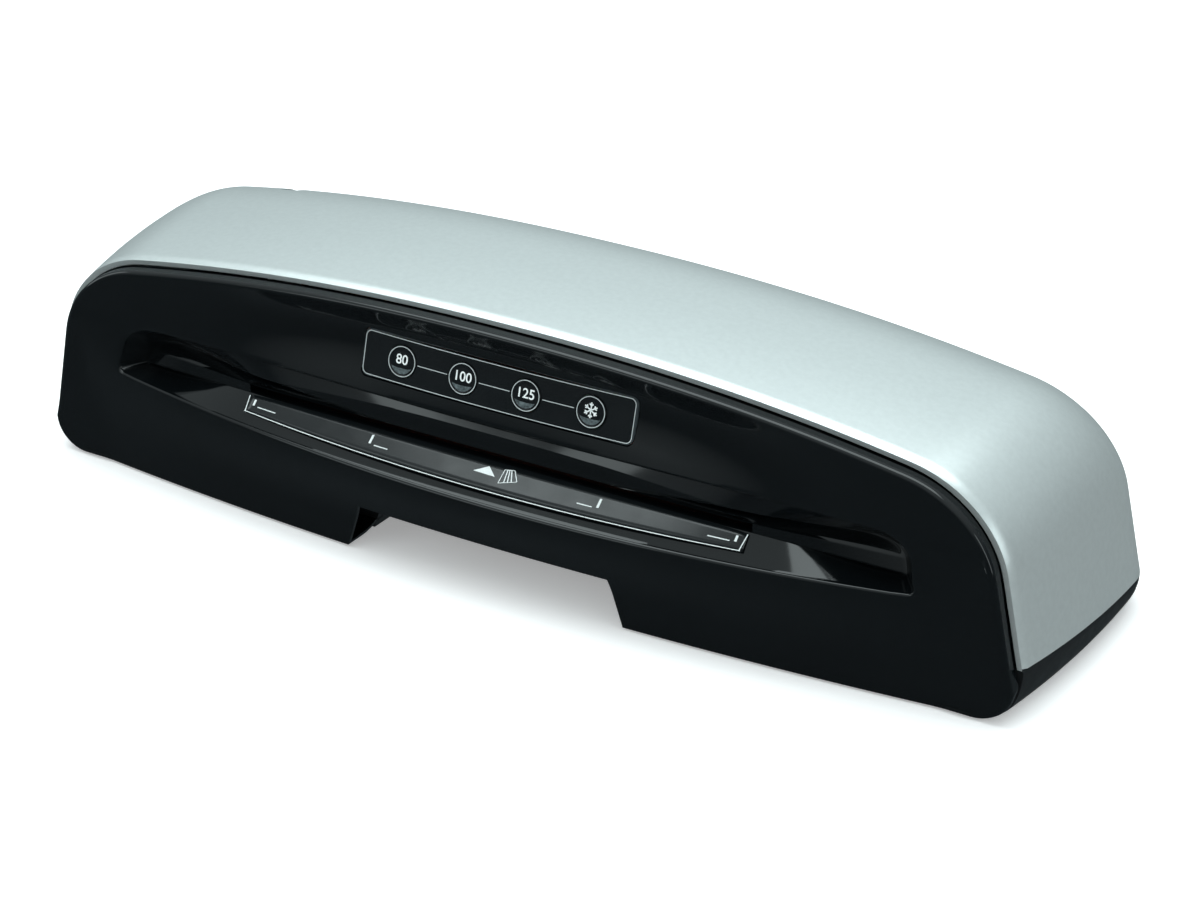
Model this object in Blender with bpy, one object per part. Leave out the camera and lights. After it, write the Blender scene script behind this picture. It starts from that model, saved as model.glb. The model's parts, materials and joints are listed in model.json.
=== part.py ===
"""Pouch laminator, A4, built as the separate pieces it comes apart into.

Sizes are in millimetres and MM turns them into metres. X runs along the
rollers, -Y is the front with the pouch entry, +Z is up. The origin is under
the middle of the machine, on the surface that its feet stand on.
"""
import math

import bmesh
import bpy
from mathutils import Vector

MM = 0.001
GAP = 0.35                      # clearance between neighbouring pieces

# ---- driving dimensions: casing ------------------------------------------
HALF_DEPTH = 67.5               # front lip to rear edge, either side of the origin
COVER_FRONT = -44.0             # plane of the cover's front edge
COVER_WALL = 2.0
EDGE_TOP = 107.7                # height of the cover's front edge at the middle
CROWN = 110.3                   # highest point inside the cover
CROWN_Y = 5.0
SHOULDER_REACH = 66.0           # the rear shoulder is a superellipse about the crown
SHOULDER_POWER = 3.2
REAR_EDGE_Y = 66.2              # the cover's rear edge
REAR_CORNER = 22.0              # plan radius of the rear corners
PARTING_FRONT = 22.0            # cover's lower edge, at the front
PARTING_REAR = 15.0             # and at the rear
SIDE_LEAN = 0.215               # inward lean of the sides, mm per mm
FRONT_HALF_WIDTH = 215.0        # inside the cover at its front lower corner
REAR_HALF_WIDTH = 225.6
BASE_BOTTOM = 1.2               # underside of the base, on feet
BASE_FRONT = COVER_FRONT + 1.0  # the base starts behind the fascia's rim

# ---- front fascia ----------------------------------------------------------
FACE_EDGE_Y = -50.3             # plane of the fascia's outer edge
FACE_INSET = 4.5                # fascia edge inside the cover's outline
FACE_WALL = 2.2
LIP_FORWARD = 17.2              # bulge of the lower lip at the middle
LIP_BOW = 4.5e-4                # its bow in plan, per mm
SKIRT_FORWARD = 10.5            # bulge at the foot of the fascia
SKIRT_BOW = 3.0e-4
SCOOP_DEPTH = 5.6               # hollow behind the control panel
BROW_FORWARD = 2.2              # upper lip ahead of the edge plane

# ---- pouch entry -------------------------------------------------------------
MOUTH_TOP = 66.5
MOUTH_BOTTOM = 46.6             # lower edge of the entry at its ends
LIP_SAG = 4.2                   # how much lower it is at the middle
MOUTH_HALF = 175.6
WALL_Y_MID = -52.2              # back wall of the entry, at the middle
WALL_Y_END = -43.5              # and at its ends
FOOT_Z = 52.7                   # height of the wall's foot at the middle
FOOT_DROP = 5.1                 # and how much lower it is at the ends
NOSE_BACK = 2.2                 # the lip's nose behind the lip's edge
NOSE_RISE = 2.0                 # and above it
SLIT_HALF = 111.0
SLIT_BOTTOM = 53.0
SLIT_TOP = 58.6
PATH_Z = 55.6                   # height of the pouch path

# ---- underside notch ---------------------------------------------------------
NOTCH_TOP = 21.0
NOTCH_HALF_TOP = 57.5
NOTCH_HALF_FOOT = 65.7
NOTCH_REAR = -14.0
NOTCH_FOOT = -5.0               # level where the hollow would be as wide as its foot

# ---- control panel -----------------------------------------------------------
PANEL_HALF = 59.7
PANEL_LOW = 73.2
PANEL_HIGH = 91.1
PANEL_BOW = 4.5e-4
PANEL_TILT = math.radians(16.5)
PANEL_MID_Y = -47.9
BUTTON_PITCH = 27.6
BUTTON_RADIUS = 6.3
BUTTON_Z = 82.0
BUTTON_NAMES = ("button_80", "button_100", "button_125", "button_cold")

# ---- rollers and drive -------------------------------------------------------
ROLLER_RADIUS = 11.0
NIP_GAP = 0.4
ROLLER_HALF = 116.0
SHAFT_RADIUS = 3.0
INFEED_Y = -24.0
EXIT_Y = 34.0
FRAME_X = 122.0
FRAME_WALL = 1.6
GEAR_X = 128.0
GEAR_WIDTH = 7.0
ROLLER_TEETH = 24
IDLER_TEETH = 40
PINION_TEETH = 12
PINION_ANGLE = math.radians(-30.0)

LOWER_Z = PATH_Z - ROLLER_RADIUS - NIP_GAP / 2
UPPER_Z = PATH_Z + ROLLER_RADIUS + NIP_GAP / 2
MODULE = (UPPER_Z - LOWER_Z) / ROLLER_TEETH

# ---- rear panel holes: x, then z ----------------------------------------------
INLET_HOLE = ((-190.0, -162.0), (19.5, 40.0))
ROCKER_HOLE = ((-152.0, -130.0), (20.5, 38.5))
ROCKER_PIVOT_Y = 63.2

# ---- release lever -----------------------------------------------------------
LEVER_X = -152.0
LEVER_PIVOT = (34.0, 78.0)      # y, z
LEVER_WIDTH = 7.0
LEVER_SHAFT = 2.4
LEVER_SLOT = (36.4, 58.5)       # its reach in y

FINISHES = {
    "gloss_black": ((0.012, 0.013, 0.015), 0.12, 0.0),
    "satin_black": ((0.025, 0.026, 0.028), 0.42, 0.0),
    "silver": ((0.62, 0.65, 0.65), 0.34, 0.75),
    "print_black": ((0.018, 0.019, 0.021), 0.22, 0.0),
    "button_black": ((0.02, 0.021, 0.024), 0.16, 0.0),
    "rubber": ((0.03, 0.03, 0.03), 0.85, 0.0),
    "silicone": ((0.45, 0.13, 0.07), 0.6, 0.0),
    "steel": ((0.56, 0.57, 0.58), 0.35, 1.0),
    "aluminium": ((0.7, 0.71, 0.72), 0.3, 1.0),
    "brass": ((0.75, 0.58, 0.25), 0.3, 1.0),
    "acetal": ((0.82, 0.81, 0.77), 0.5, 0.0),
    "board_green": ((0.03, 0.18, 0.08), 0.5, 0.0),
    "mica": ((0.55, 0.48, 0.36), 0.7, 0.0),
}


# ---- helpers -----------------------------------------------------------------
def clear_scene():
    for item in list(bpy.data.objects):
        bpy.data.objects.remove(item, do_unlink=True)


def finish(name):
    """The material of one finish, made on first use."""
    material = bpy.data.materials.get(name)
    if material is None:
        colour, roughness, metallic = FINISHES[name]
        material = bpy.data.materials.new(name)
        material.use_nodes = True
        shader = material.node_tree.nodes["Principled BSDF"]
        shader.inputs["Base Color"].default_value = (*colour, 1.0)
        shader.inputs["Roughness"].default_value = roughness
        shader.inputs["Metallic"].default_value = metallic
    return material


def add_object(name, points, faces, look, origin=(0, 0, 0), smooth=40):
    """A mesh object from points in mm; its origin sits at the point given."""
    pivot = Vector(origin)
    mesh = bpy.data.meshes.new(name)
    mesh.from_pydata([(Vector(p) - pivot) * MM for p in points], [], faces)
    mesh.validate()
    work = bmesh.new()
    work.from_mesh(mesh)
    bmesh.ops.recalc_face_normals(work, faces=work.faces)
    work.to_mesh(mesh)
    work.free()
    mesh.materials.append(finish(look))
    if smooth:
        mesh.shade_smooth()
        mesh.set_sharp_from_angle(angle=math.radians(smooth))
    item = bpy.data.objects.new(name, mesh)
    item.location = pivot * MM
    bpy.context.collection.objects.link(item)
    return item


def cutter(item):
    item.hide_render = True
    item.display_type = "WIRE"
    return item


def cut(item, tool, operation="DIFFERENCE"):
    step = item.modifiers.new(operation.lower() + "_" + tool.name, "BOOLEAN")
    step.object = tool
    step.operation = operation
    step.solver = "EXACT"


def loft(name, rings, look, origin=(0, 0, 0), capped=True, smooth=40):
    """A skin over rings of equal length; the first and last can be capped."""
    count = len(rings[0])
    points = [p for ring in rings for p in ring]
    faces = []
    for level in range(len(rings) - 1):
        low, high = level * count, (level + 1) * count
        for i in range(count):
            j = (i + 1) % count
            faces.append((low + i, low + j, high + j, high + i))
    if capped:
        faces.append(tuple(reversed(range(count))))
        faces.append(tuple(range(len(points) - count, len(points))))
    return add_object(name, points, faces, look, origin, smooth)


def box(name, low, high, look, origin=(0, 0, 0)):
    (x0, y0, z0), (x1, y1, z1) = low, high
    ring = [(x0, y0), (x1, y0), (x1, y1), (x0, y1)]
    return loft(name, [[(x, y, z) for x, y in ring] for z in (z0, z1)], look, origin, smooth=0)


def circle(y, z, radius, sides, phase=0.0):
    """Points (y, z) round a circle."""
    turn = 2 * math.pi / sides
    return [(y + radius * math.cos(phase + turn * i), z + radius * math.sin(phase + turn * i))
            for i in range(sides)]


def prism_x(name, outline, x0, x1, look, origin=(0, 0, 0), smooth=40):
    """An outline of (y, z) points drawn out along X."""
    rings = [[(x, y, z) for y, z in outline] for x in (x0, x1)]
    return loft(name, rings, look, origin, smooth=smooth)


def ring_x(name, y, z, outer, inner, x0, x1, look, sides):
    """A round tube along X."""
    points = [(x, *p) for x, radius in ((x0, inner), (x0, outer), (x1, outer), (x1, inner))
              for p in circle(y, z, radius, sides)]
    faces = []
    for level in range(4):
        a, b = level * sides, ((level + 1) % 4) * sides
        for i in range(sides):
            j = (i + 1) % sides
            faces.append((a + i, a + j, b + j, b + i))
    return add_object(name, points, faces, look, (0, y, z))


def smoothstep(value):
    t = min(1.0, max(0.0, value))
    return t * t * (3 - 2 * t)


def bezier(start, corner, end, count, pull=0.6):
    """Points of a rounded corner from start to end, both ends included."""
    out = []
    for i in range(count):
        t = i / (count - 1)
        weights = ((1 - t) ** 3, 3 * t * (1 - t) ** 2, 3 * t * t * (1 - t), t ** 3)
        inner = [tuple(p[k] + pull * (corner[k] - p[k]) for k in (0, 1)) for p in (start, end)]
        guides = (start, inner[0], inner[1], end)
        out.append(tuple(sum(w * g[k] for w, g in zip(weights, guides)) for k in (0, 1)))
    return out


# ---- the casing's outline ----------------------------------------------------
TOP_END = 168.0                 # where the top curve hands over to the corner
SIDE_START = 58.0               # height where the corner hands over to the side
TOP_COUNT, CORNER_COUNT, SIDE_COUNT = 9, 6, 4
FOOT_COUNT, BOTTOM_COUNT = 4, 9
FOOT_RADIUS = 13.0


def arch_height(x):
    return EDGE_TOP - 10.6 * (abs(x) / 151.0) ** 2.2


def side_x(z):
    return FRONT_HALF_WIDTH - SIDE_LEAN * (z - PARTING_FRONT)


def arch_half():
    """The cover's front edge from the top middle to its lower corner, (x, z)."""
    top = [TOP_END * i / (TOP_COUNT - 1) for i in range(TOP_COUNT)]
    points = [(x, arch_height(x)) for x in top]
    corner = (side_x(88.6), 88.6)
    points += bezier(points[-1], corner, (side_x(SIDE_START), SIDE_START), CORNER_COUNT)[1:]
    step = (SIDE_START - PARTING_FRONT) / SIDE_COUNT
    points += [(side_x(z), z) for z in (SIDE_START - step * (i + 1) for i in range(SIDE_COUNT))]
    return points


def offset_half(points, distance):
    """The half outline moved in along its own normal by distance."""
    out = []
    for i, (x, z) in enumerate(points):
        before, after = points[max(i - 1, 0)], points[min(i + 1, len(points) - 1)]
        dx, dz = after[0] - before[0], after[1] - before[1]
        if i == 0:
            dx, dz = 1.0, 0.0
        size = math.hypot(dx, dz)
        out.append((x + dz / size * distance, z - dx / size * distance))
    return out


def closed_half(inset, low=BASE_BOTTOM):
    """The fascia's outline down to the floor: top middle to bottom middle."""
    points = offset_half(arch_half(), inset)
    foot_x = side_x(FOOT_RADIUS) - inset
    points += bezier((foot_x, FOOT_RADIUS + low), (foot_x, low), (foot_x - FOOT_RADIUS, low),
                     FOOT_COUNT, 0.55)
    step = (foot_x - FOOT_RADIUS) / BOTTOM_COUNT
    points += [(foot_x - FOOT_RADIUS - step * (i + 1), low) for i in range(BOTTOM_COUNT)]
    return points


def mirrored(half):
    """A closed loop from a half loop that starts and ends on the middle plane."""
    return list(half) + [(-p[0], *p[1:]) for p in reversed(half[1:-1])]


def half_width(y, extra=0.0):
    """Half width of the casing at its parting line."""
    taper = (REAR_HALF_WIDTH - FRONT_HALF_WIDTH) * (max(0.0, 48.0 - y) / 92.0) ** 2
    start = HALF_DEPTH + extra - REAR_CORNER
    back = min(max(0.0, y - start), REAR_CORNER)
    return REAR_HALF_WIDTH - taper + extra - (REAR_CORNER - math.sqrt(REAR_CORNER ** 2 - back ** 2))


def top_height(y, extra=0.0):
    """Height of the cover's ridge."""
    if y < CROWN_Y:
        return CROWN + extra - (CROWN - EDGE_TOP) * ((CROWN_Y - y) / (CROWN_Y - COVER_FRONT)) ** 2
    fall = min(1.0, (y - CROWN_Y) / (SHOULDER_REACH + extra))
    return 20.0 + (CROWN + extra - 20.0) * (1 - fall ** SHOULDER_POWER) ** (1 / SHOULDER_POWER)


def parting_height(y):
    return PARTING_FRONT + (PARTING_REAR - PARTING_FRONT) * (y - COVER_FRONT) / 92.0


def casing_station(y, extra=0.0):
    """The half outline of the cover at depth y, grown by extra."""
    low, high = parting_height(y), top_height(y, extra)
    width = half_width(y, extra) / FRONT_HALF_WIDTH
    rise = (high - low) / (EDGE_TOP - PARTING_FRONT)
    return [(x * width, y, low + (z - PARTING_FRONT) * rise) for x, z in arch_half()]


# ---- casing pieces -----------------------------------------------------------
COVER_STATIONS = (COVER_FRONT, -41.0, -22.0, 0.0, 18.0, 32.0, 43.0, 51.0, 57.0, 61.0, 64.0, REAR_EDGE_Y)


def open_loop(half):
    return [(-x, y, z) for x, y, z in reversed(half[1:])] + list(half)


def build_cover():
    """Silver shell: an arch drawn back over the machine, open in front, behind and below."""
    outer = [open_loop(casing_station(y)) for y in COVER_STATIONS]
    inner = [open_loop(casing_station(y, -COVER_WALL)) for y in COVER_STATIONS]
    count, levels = len(outer[0]), len(outer)
    points = [p for ring in outer for p in ring] + [p for ring in inner for p in ring]
    shift = count * levels
    faces = []
    for j in range(levels - 1):
        for i in range(count - 1):
            a, b = j * count + i, (j + 1) * count + i
            faces.append((a, a + 1, b + 1, b))
            faces.append((shift + a, shift + b, shift + b + 1, shift + a + 1))
    for j in range(levels - 1):
        for i in (0, count - 1):
            a, b = j * count + i, (j + 1) * count + i
            faces.append((a, b, shift + b, shift + a))
    for row in (0, levels - 1):
        for i in range(count - 1):
            a = row * count + i
            faces.append((a, shift + a, shift + a + 1, a + 1))
    cover = add_object("top_cover", points, faces, "silver")
    half = LEVER_WIDTH / 2 + 1.0
    slot = box("lever_slot", (LEVER_X - half, LEVER_SLOT[0], 78.0), (LEVER_X + half, LEVER_SLOT[1], 130.0),
               "silver")
    cut(cover, cutter(slot))
    return cover


def base_ring(drop, inset, low):
    """One loop of the base's side: drop 0 is the parting line, 1 the lowest level."""
    front = BASE_FRONT - (10.0 if low > BASE_BOTTOM else 0.0)
    half = [(half_width(y) - inset, y) for y in (front, -30.0, -10.0, 12.0, 32.0, 44.0)]
    corner_y = HALF_DEPTH - REAR_CORNER
    radius = REAR_CORNER - inset
    for i in range(1, 6):
        turn = math.radians(18 * i)
        half.append((half_width(corner_y) - REAR_CORNER + radius * math.cos(turn),
                     corner_y + radius * math.sin(turn)))
    levels = [parting_height(y) - GAP for _, y in half]
    half = [(x, y, low + (z - low) * (1 - drop)) for (x, y), z in zip(half, levels)]
    return half + [(-x, y, z) for x, y, z in reversed(half)]


def base_volume(name, wall):
    """The base's outer volume, or the space inside it for a wall thickness."""
    low = BASE_BOTTOM + wall
    rings = []
    for turn in (90.0, 67.0, 45.0, 22.0, 0.0):
        angle = math.radians(turn)
        rings.append(base_ring(math.sin(angle), 8.5 * (1 - math.cos(angle)) + wall, low))
    if wall:
        rings.append([(x, y, z + 20.0) for x, y, z in rings[-1]])
    return loft(name, rings, "satin_black")


def notch_block(name, grow, front=-80.0):
    """The trapezoid hollow under the middle of the front."""
    top, foot = NOTCH_HALF_TOP + grow, NOTCH_HALF_FOOT + grow
    low, high, rear = NOTCH_FOOT, NOTCH_TOP + grow, NOTCH_REAR + grow
    rings = []
    for y, taper in ((front, 0.0), (rear, 0.2 * (NOTCH_REAR - COVER_FRONT))):
        rings.append([(-foot + taper, y, low), (foot - taper, y, low),
                      (top - taper, y, high), (-top + taper, y, high)])
    return loft(name, rings, "satin_black", smooth=0)


def build_base():
    """Black tray under the cover, and the recess let into its front middle."""
    base = base_volume("base_tray", 0.0)
    cut(base, cutter(notch_block("base_notch", FACE_WALL + GAP)))
    cut(base, cutter(base_volume("base_space", FACE_WALL)))
    recess = notch_block("grip_recess", FACE_WALL)
    cut(recess, cutter(notch_block("recess_notch", 0.0)))
    cut(recess, cutter(box("recess_foot", (-90.0, -90.0, -9.0), (90.0, 0.0, BASE_BOTTOM), "satin_black")))
    cut(recess, cutter(box("recess_front", (-90.0, -90.0, -9.0), (90.0, BASE_FRONT, 40.0), "satin_black")))


def build_rear_panel():
    """Flat rear panel inside the cover's rear edge, with the exit slot and inlet holes."""
    levels = []
    for y in (REAR_EDGE_Y - 3.4, REAR_EDGE_Y - 0.9):
        half = [(x, z) for x, _, z in casing_station(REAR_EDGE_Y, -COVER_WALL - GAP)]
        half = [(x, z) for x, z in half if z > 24.0]
        foot = parting_height(REAR_EDGE_Y) + 1.0
        edge = half[-1][0] - 4.0
        half += [(edge, foot), (0.0, foot)]
        levels.append([(x, y, z) for x, z in mirrored(half)])
    panel = loft("rear_panel", levels, "satin_black", smooth=25)
    openings = {
        "exit_slot": ((-118.0, 118.0), (PATH_Z - 3.2, PATH_Z + 3.2)),
        "inlet_hole": INLET_HOLE,
        "rocker_hole": ROCKER_HOLE,
    }
    for name, ((x0, x1), (z0, z1)) in openings.items():
        cut(panel, cutter(box(name, (x0, 50.0, z0), (x1, 80.0, z1), "satin_black")))
    return panel


# ---- front fascia ------------------------------------------------------------
MOUTH_CORNER = ((158.0, MOUTH_TOP + 0.6), (171.5, MOUTH_TOP + 0.2), (173.3, 57.0))
WALL_CORNER = ((152.0, 58.6), (165.0, 58.0), (167.0, 53.0))


def scoop_share(x):
    """How much of the hollow behind the panel is there at x."""
    return 1 - smoothstep((abs(x) - 45.0) / 105.0)


def upper_y(x, z, top):
    """Front surface above the entry."""
    v = min(1.0, max(0.0, (z - MOUTH_TOP) / (top - MOUTH_TOP)))
    share = scoop_share(x)
    hollow = SCOOP_DEPTH * math.sin(math.pi * v ** 1.5) + PANEL_BOW * x * x * math.sin(math.pi * v)
    brow = BROW_FORWARD * (1 - v) ** 3
    return FACE_EDGE_Y + share * hollow - brow * (0.35 + 0.65 * share)


def mouth_bottom(x):
    """Height of the entry's lower edge."""
    return MOUTH_BOTTOM - LIP_SAG * (1 - (x / MOUTH_HALF) ** 2)


def lower_y(x, z):
    """Front surface below the entry: lower lip down to the foot."""
    lip = math.sqrt(max(0.0, LIP_FORWARD - LIP_BOW * x * x) ** 2 + 0.01)
    foot = max(0.0, SKIRT_FORWARD - SKIRT_BOW * x * x)
    share = smoothstep((z - 14.0) / (mouth_bottom(x) - 14.0))
    return FACE_EDGE_Y - foot - (lip - foot) * share


def face_y(x, z, top):
    if z >= MOUTH_TOP:
        return upper_y(x, z, top)
    low = mouth_bottom(x)
    if z <= low:
        return lower_y(x, z)
    share = (z - low) / (MOUTH_TOP - low)
    return lower_y(x, low) * (1 - share) + upper_y(x, MOUTH_TOP, top) * share


def wall_y(x):
    share = smoothstep((abs(x) - 100.0) / 68.0)
    return WALL_Y_MID + (WALL_Y_END - WALL_Y_MID) * share


def spread(start, end, count, first=True):
    """Evenly spaced points from start to end."""
    indices = range(0 if first else 1, count + 1)
    return [tuple(a + (b - a) * i / count for a, b in zip(start, end)) for i in indices]


def mouth_half():
    """The entry's edge on the face, matched point for point to closed_half."""
    points = spread((0.0, MOUTH_TOP), MOUTH_CORNER[0], TOP_COUNT - 1)
    points += bezier(*MOUTH_CORNER, CORNER_COUNT)[1:]
    points += spread(MOUTH_CORNER[2], (MOUTH_HALF - 0.8, 50.0), SIDE_COUNT, first=False)
    points += bezier((MOUTH_HALF - 0.4, 48.6), (MOUTH_HALF, MOUTH_BOTTOM),
                     (MOUTH_HALF - 4.0, MOUTH_BOTTOM), FOOT_COUNT)
    sill = spread((MOUTH_HALF - 4.0, 0.0), (0.0, 0.0), BOTTOM_COUNT, first=False)
    return points + [(x, mouth_bottom(x)) for x, _ in sill]


def wall_half():
    """The edge of the entry's back wall, with its ends set back, (x, y, z)."""
    points = spread((0.0, 64.2), WALL_CORNER[0], TOP_COUNT - 1)
    points = [(x, 64.2 - 5.6 * smoothstep((x - 20.0) / 132.0)) for x, _ in points]
    points += bezier(*WALL_CORNER, CORNER_COUNT)[1:]
    points += spread(WALL_CORNER[2], (168.6, 48.9), SIDE_COUNT, first=False)
    points += bezier((168.7, 48.4), (169.0, 47.5), (165.0, 47.6), FOOT_COUNT)
    points += [(x, FOOT_Z - FOOT_DROP * smoothstep((x - 105.0) / 60.0))
               for x, _ in spread((165.0, 0.0), (0.0, 0.0), BOTTOM_COUNT, first=False)]
    return [(x, wall_y(x), z) for x, z in points]


def slit_half():
    """The pouch slit in the back wall, (x, y, z)."""
    upper, lower = TOP_COUNT + CORNER_COUNT - 1, FOOT_COUNT + BOTTOM_COUNT
    step = (SLIT_TOP - SLIT_BOTTOM) / (SIDE_COUNT + 1)
    points = [(SLIT_HALF * i / (upper - 1), SLIT_TOP) for i in range(upper)]
    points += [(SLIT_HALF, SLIT_TOP - step * (i + 1)) for i in range(SIDE_COUNT)]
    points += [(SLIT_HALF * (1 - i / (lower - 1)), SLIT_BOTTOM) for i in range(lower)]
    return [(x, wall_y(x), z) for x, z in points]


def face_rings():
    """Loops of the fascia's skin from the slit, round the entry, out to the rim."""
    mouth, edge = mouth_half(), closed_half(FACE_INSET)
    upper = TOP_COUNT + CORNER_COUNT + SIDE_COUNT - 1
    tops = [edge[min(i, TOP_COUNT + CORNER_COUNT - 2)][1] for i in range(len(edge))]
    nose = []
    for i, (x, z) in enumerate(mouth):
        rise = NOSE_RISE if i > upper else -1.3
        nose.append((x * 0.994, face_y(x, z, tops[i]) + NOSE_BACK, z + rise))
    rings = [slit_half(), wall_half(), nose]
    for share in (0.0, 0.12, 0.3, 0.5, 0.7, 0.86, 1.0):
        ring = []
        for i, ((x0, z0), (x1, z1)) in enumerate(zip(mouth, edge)):
            x, z = x0 + (x1 - x0) * share, z0 + (z1 - z0) * share
            ring.append((x, face_y(x, z, tops[i]), z))
        rings.append(ring)
    for back, inset, lift in ((-0.5, 2.6, 2.0), (0.5, 4.8, 2.6), (5.0, 5.0, 3.2)):
        y = COVER_FRONT + back
        outline = closed_half(inset, BASE_BOTTOM + lift)
        rings.append([(x, y, z) for x, z in outline])
    return [mirrored(ring) for ring in rings]


def build_fascia():
    """Glossy front moulding with the pouch entry hollowed into it."""
    fascia = loft("front_fascia", face_rings(), "gloss_black", capped=False)
    wall = fascia.modifiers.new("wall", "SOLIDIFY")
    wall.thickness = FACE_WALL * MM
    wall.offset = -1.0
    cut(fascia, cutter(notch_block("fascia_notch", 0.0)))
    cut(fascia, cutter(notch_block("fascia_relief", FACE_WALL + GAP, BASE_FRONT - GAP)))
    window = panel_outline(PANEL_HALF + GAP, (PANEL_HIGH - PANEL_LOW) / 2 + GAP)
    rings = [[(x, y, (PANEL_LOW + PANEL_HIGH) / 2 + z) for x, z in window] for y in (-60.0, -30.0)]
    cut(fascia, cutter(loft("panel_window", rings, "gloss_black")))


def panel_outline(half, tall, radius=3.0):
    """Rounded rectangle, (x, z) about its middle."""
    out = []
    for quarter, (sx, sz) in enumerate(((1, 1), (-1, 1), (-1, -1), (1, -1))):
        for i in range(4):
            turn = math.radians(90 * quarter + 30 * i)
            out.append((sx * (half - radius) + radius * math.cos(turn),
                        sz * (tall - radius) + radius * math.sin(turn)))
    return out


def panel_y(x, z):
    """The control panel's front surface, leaning back and bowed with the fascia."""
    middle = (PANEL_LOW + PANEL_HIGH) / 2
    return PANEL_MID_Y + (z - middle) * math.tan(PANEL_TILT) + PANEL_BOW * x * x


def build_control_panel():
    """Bowed plate of the control panel with four round button holes."""
    middle, tall = (PANEL_LOW + PANEL_HIGH) / 2, (PANEL_HIGH - PANEL_LOW) / 2
    stations = [-PANEL_HALF, -58.6, -56.7, -40.0, -20.0, 0.0, 20.0, 40.0, 56.7, 58.6, PANEL_HALF]
    rings = []
    for x in stations:
        over = max(0.0, abs(x) - (PANEL_HALF - 3.0))
        high = tall - 3.0 + math.sqrt(max(0.0, 9.0 - over * over)) + 0.02
        corners = [(middle - high, 0.0), (middle + high, 0.0), (middle + high, 2.6), (middle - high, 2.6)]
        rings.append([(x, panel_y(x, z) + depth, z) for z, depth in corners])
    panel = loft("control_panel", rings, "print_black", smooth=25)
    for name, (x, y, z) in button_places().items():
        hole = disc_on_panel("hole_" + name, (x, y, z), BUTTON_RADIUS + GAP, -6.0, 8.0, 28, "print_black")
        cut(panel, cutter(hole))
    return panel


def button_places():
    places = {}
    for i, name in enumerate(BUTTON_NAMES):
        x = BUTTON_PITCH * (i - 1.5)
        places[name] = (x, panel_y(x, BUTTON_Z), BUTTON_Z)
    return places


def disc_on_panel(name, centre, radius, front, back, sides, look):
    """A disc along the panel's normal; front and back are depths behind its face."""
    inward = Vector((0.0, math.cos(PANEL_TILT), -math.sin(PANEL_TILT)))
    up = Vector((0.0, math.sin(PANEL_TILT), math.cos(PANEL_TILT)))
    middle = Vector(centre)
    rings = []
    for depth in (front, back):
        ring = []
        for i in range(sides):
            turn = 2 * math.pi * i / sides
            point = middle + inward * depth + Vector((1, 0, 0)) * radius * math.cos(turn)
            ring.append(tuple(point + up * radius * math.sin(turn)))
        rings.append(ring)
    return loft(name, rings, look, origin=centre)


def build_buttons():
    for name, centre in button_places().items():
        disc_on_panel(name, centre, BUTTON_RADIUS, -0.45, 3.4, 24, "button_black")


def build_label_strip():
    """Inset strip on the entry's floor that carries the pouch guide marks."""
    rear = WALL_Y_MID - 0.6
    half = SLIT_HALF - 0.6
    xs = [half - half * i / 6 for i in range(13)]
    rings = []
    for lift in (1.05, 1.55):
        ring = [(x, rear, floor_z(x, rear) + lift) for x in xs]
        for x in reversed(xs):
            y = lower_y(x, mouth_bottom(x)) + 3.6
            ring.append((x * 0.992, y, floor_z(x, y) + lift))
        rings.append(ring)
    return loft("label_strip", rings, "print_black", smooth=20)


def floor_z(x, y):
    """Height of the entry floor, between the nose and the foot of the wall."""
    front_y, front_z = lower_y(x, mouth_bottom(x)) + NOSE_BACK, mouth_bottom(x) + NOSE_RISE
    rear_y = wall_y(x)
    rear_z = FOOT_Z - FOOT_DROP * smoothstep((abs(x) - 105.0) / 60.0)
    return front_z + (rear_z - front_z) * (y - front_y) / (rear_y - front_y)


# ---- frame, rollers and heaters ----------------------------------------------
ROLLER_SPOTS = {
    "infeed_lower": (INFEED_Y, LOWER_Z),
    "infeed_upper": (INFEED_Y, UPPER_Z),
    "exit_lower": (EXIT_Y, LOWER_Z),
    "exit_upper": (EXIT_Y, UPPER_Z),
}
BUSH_RADIUS = 6.0
LIFT = 1.5                      # travel of the upper rollers when released


def build_side_frames():
    """Steel side plates; the upper holes are slots, so that the upper rollers can lift."""
    for side, name in ((-1, "side_frame_left"), (1, "side_frame_right")):
        inner = side * FRAME_X
        outer = side * (FRAME_X + FRAME_WALL)
        outline = [(-42.0, 26.0), (46.0, 26.0), (46.0, 80.0), (40.0, 86.0), (-30.0, 86.0), (-42.0, 76.0)]
        plate = prism_x(name, outline, min(inner, outer), max(inner, outer), "steel", smooth=0)
        for spot, (y, z) in ROLLER_SPOTS.items():
            rise = LIFT + GAP if spot.endswith("upper") else 0.0
            hole = circle(y, z, BUSH_RADIUS + GAP, 20)
            hole = [(py, pz + (rise if pz > z + 0.01 else 0.0)) for py, pz in hole]
            tool = prism_x("bore_%s_%s" % (spot, side), hole, inner - 9, inner + 9, "steel")
            cut(plate, cutter(tool))
        hole = circle(*LEVER_PIVOT, LEVER_SHAFT + GAP, 14)
        cut(plate, cutter(prism_x("bore_release_%s" % side, hole, inner - 9, inner + 9, "steel")))


def build_rollers():
    for spot, (y, z) in ROLLER_SPOTS.items():
        ring_x(spot + "_sleeve", y, z, ROLLER_RADIUS, SHAFT_RADIUS + GAP, -ROLLER_HALF, ROLLER_HALF,
               "silicone", 28)
        prism_x(spot + "_shaft", circle(y, z, SHAFT_RADIUS, 16), -(FRAME_X + 6), GEAR_X + GEAR_WIDTH + 3,
                "steel", origin=(0, y, z))
        for side, word in ((-1, "left"), (1, "right")):
            ends = sorted((side * (FRAME_X - 2.6), side * (FRAME_X + 3.6)))
            ring_x("%s_bush_%s" % (spot, word), y, z, BUSH_RADIUS, SHAFT_RADIUS + GAP, *ends, "brass", 20)


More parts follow.
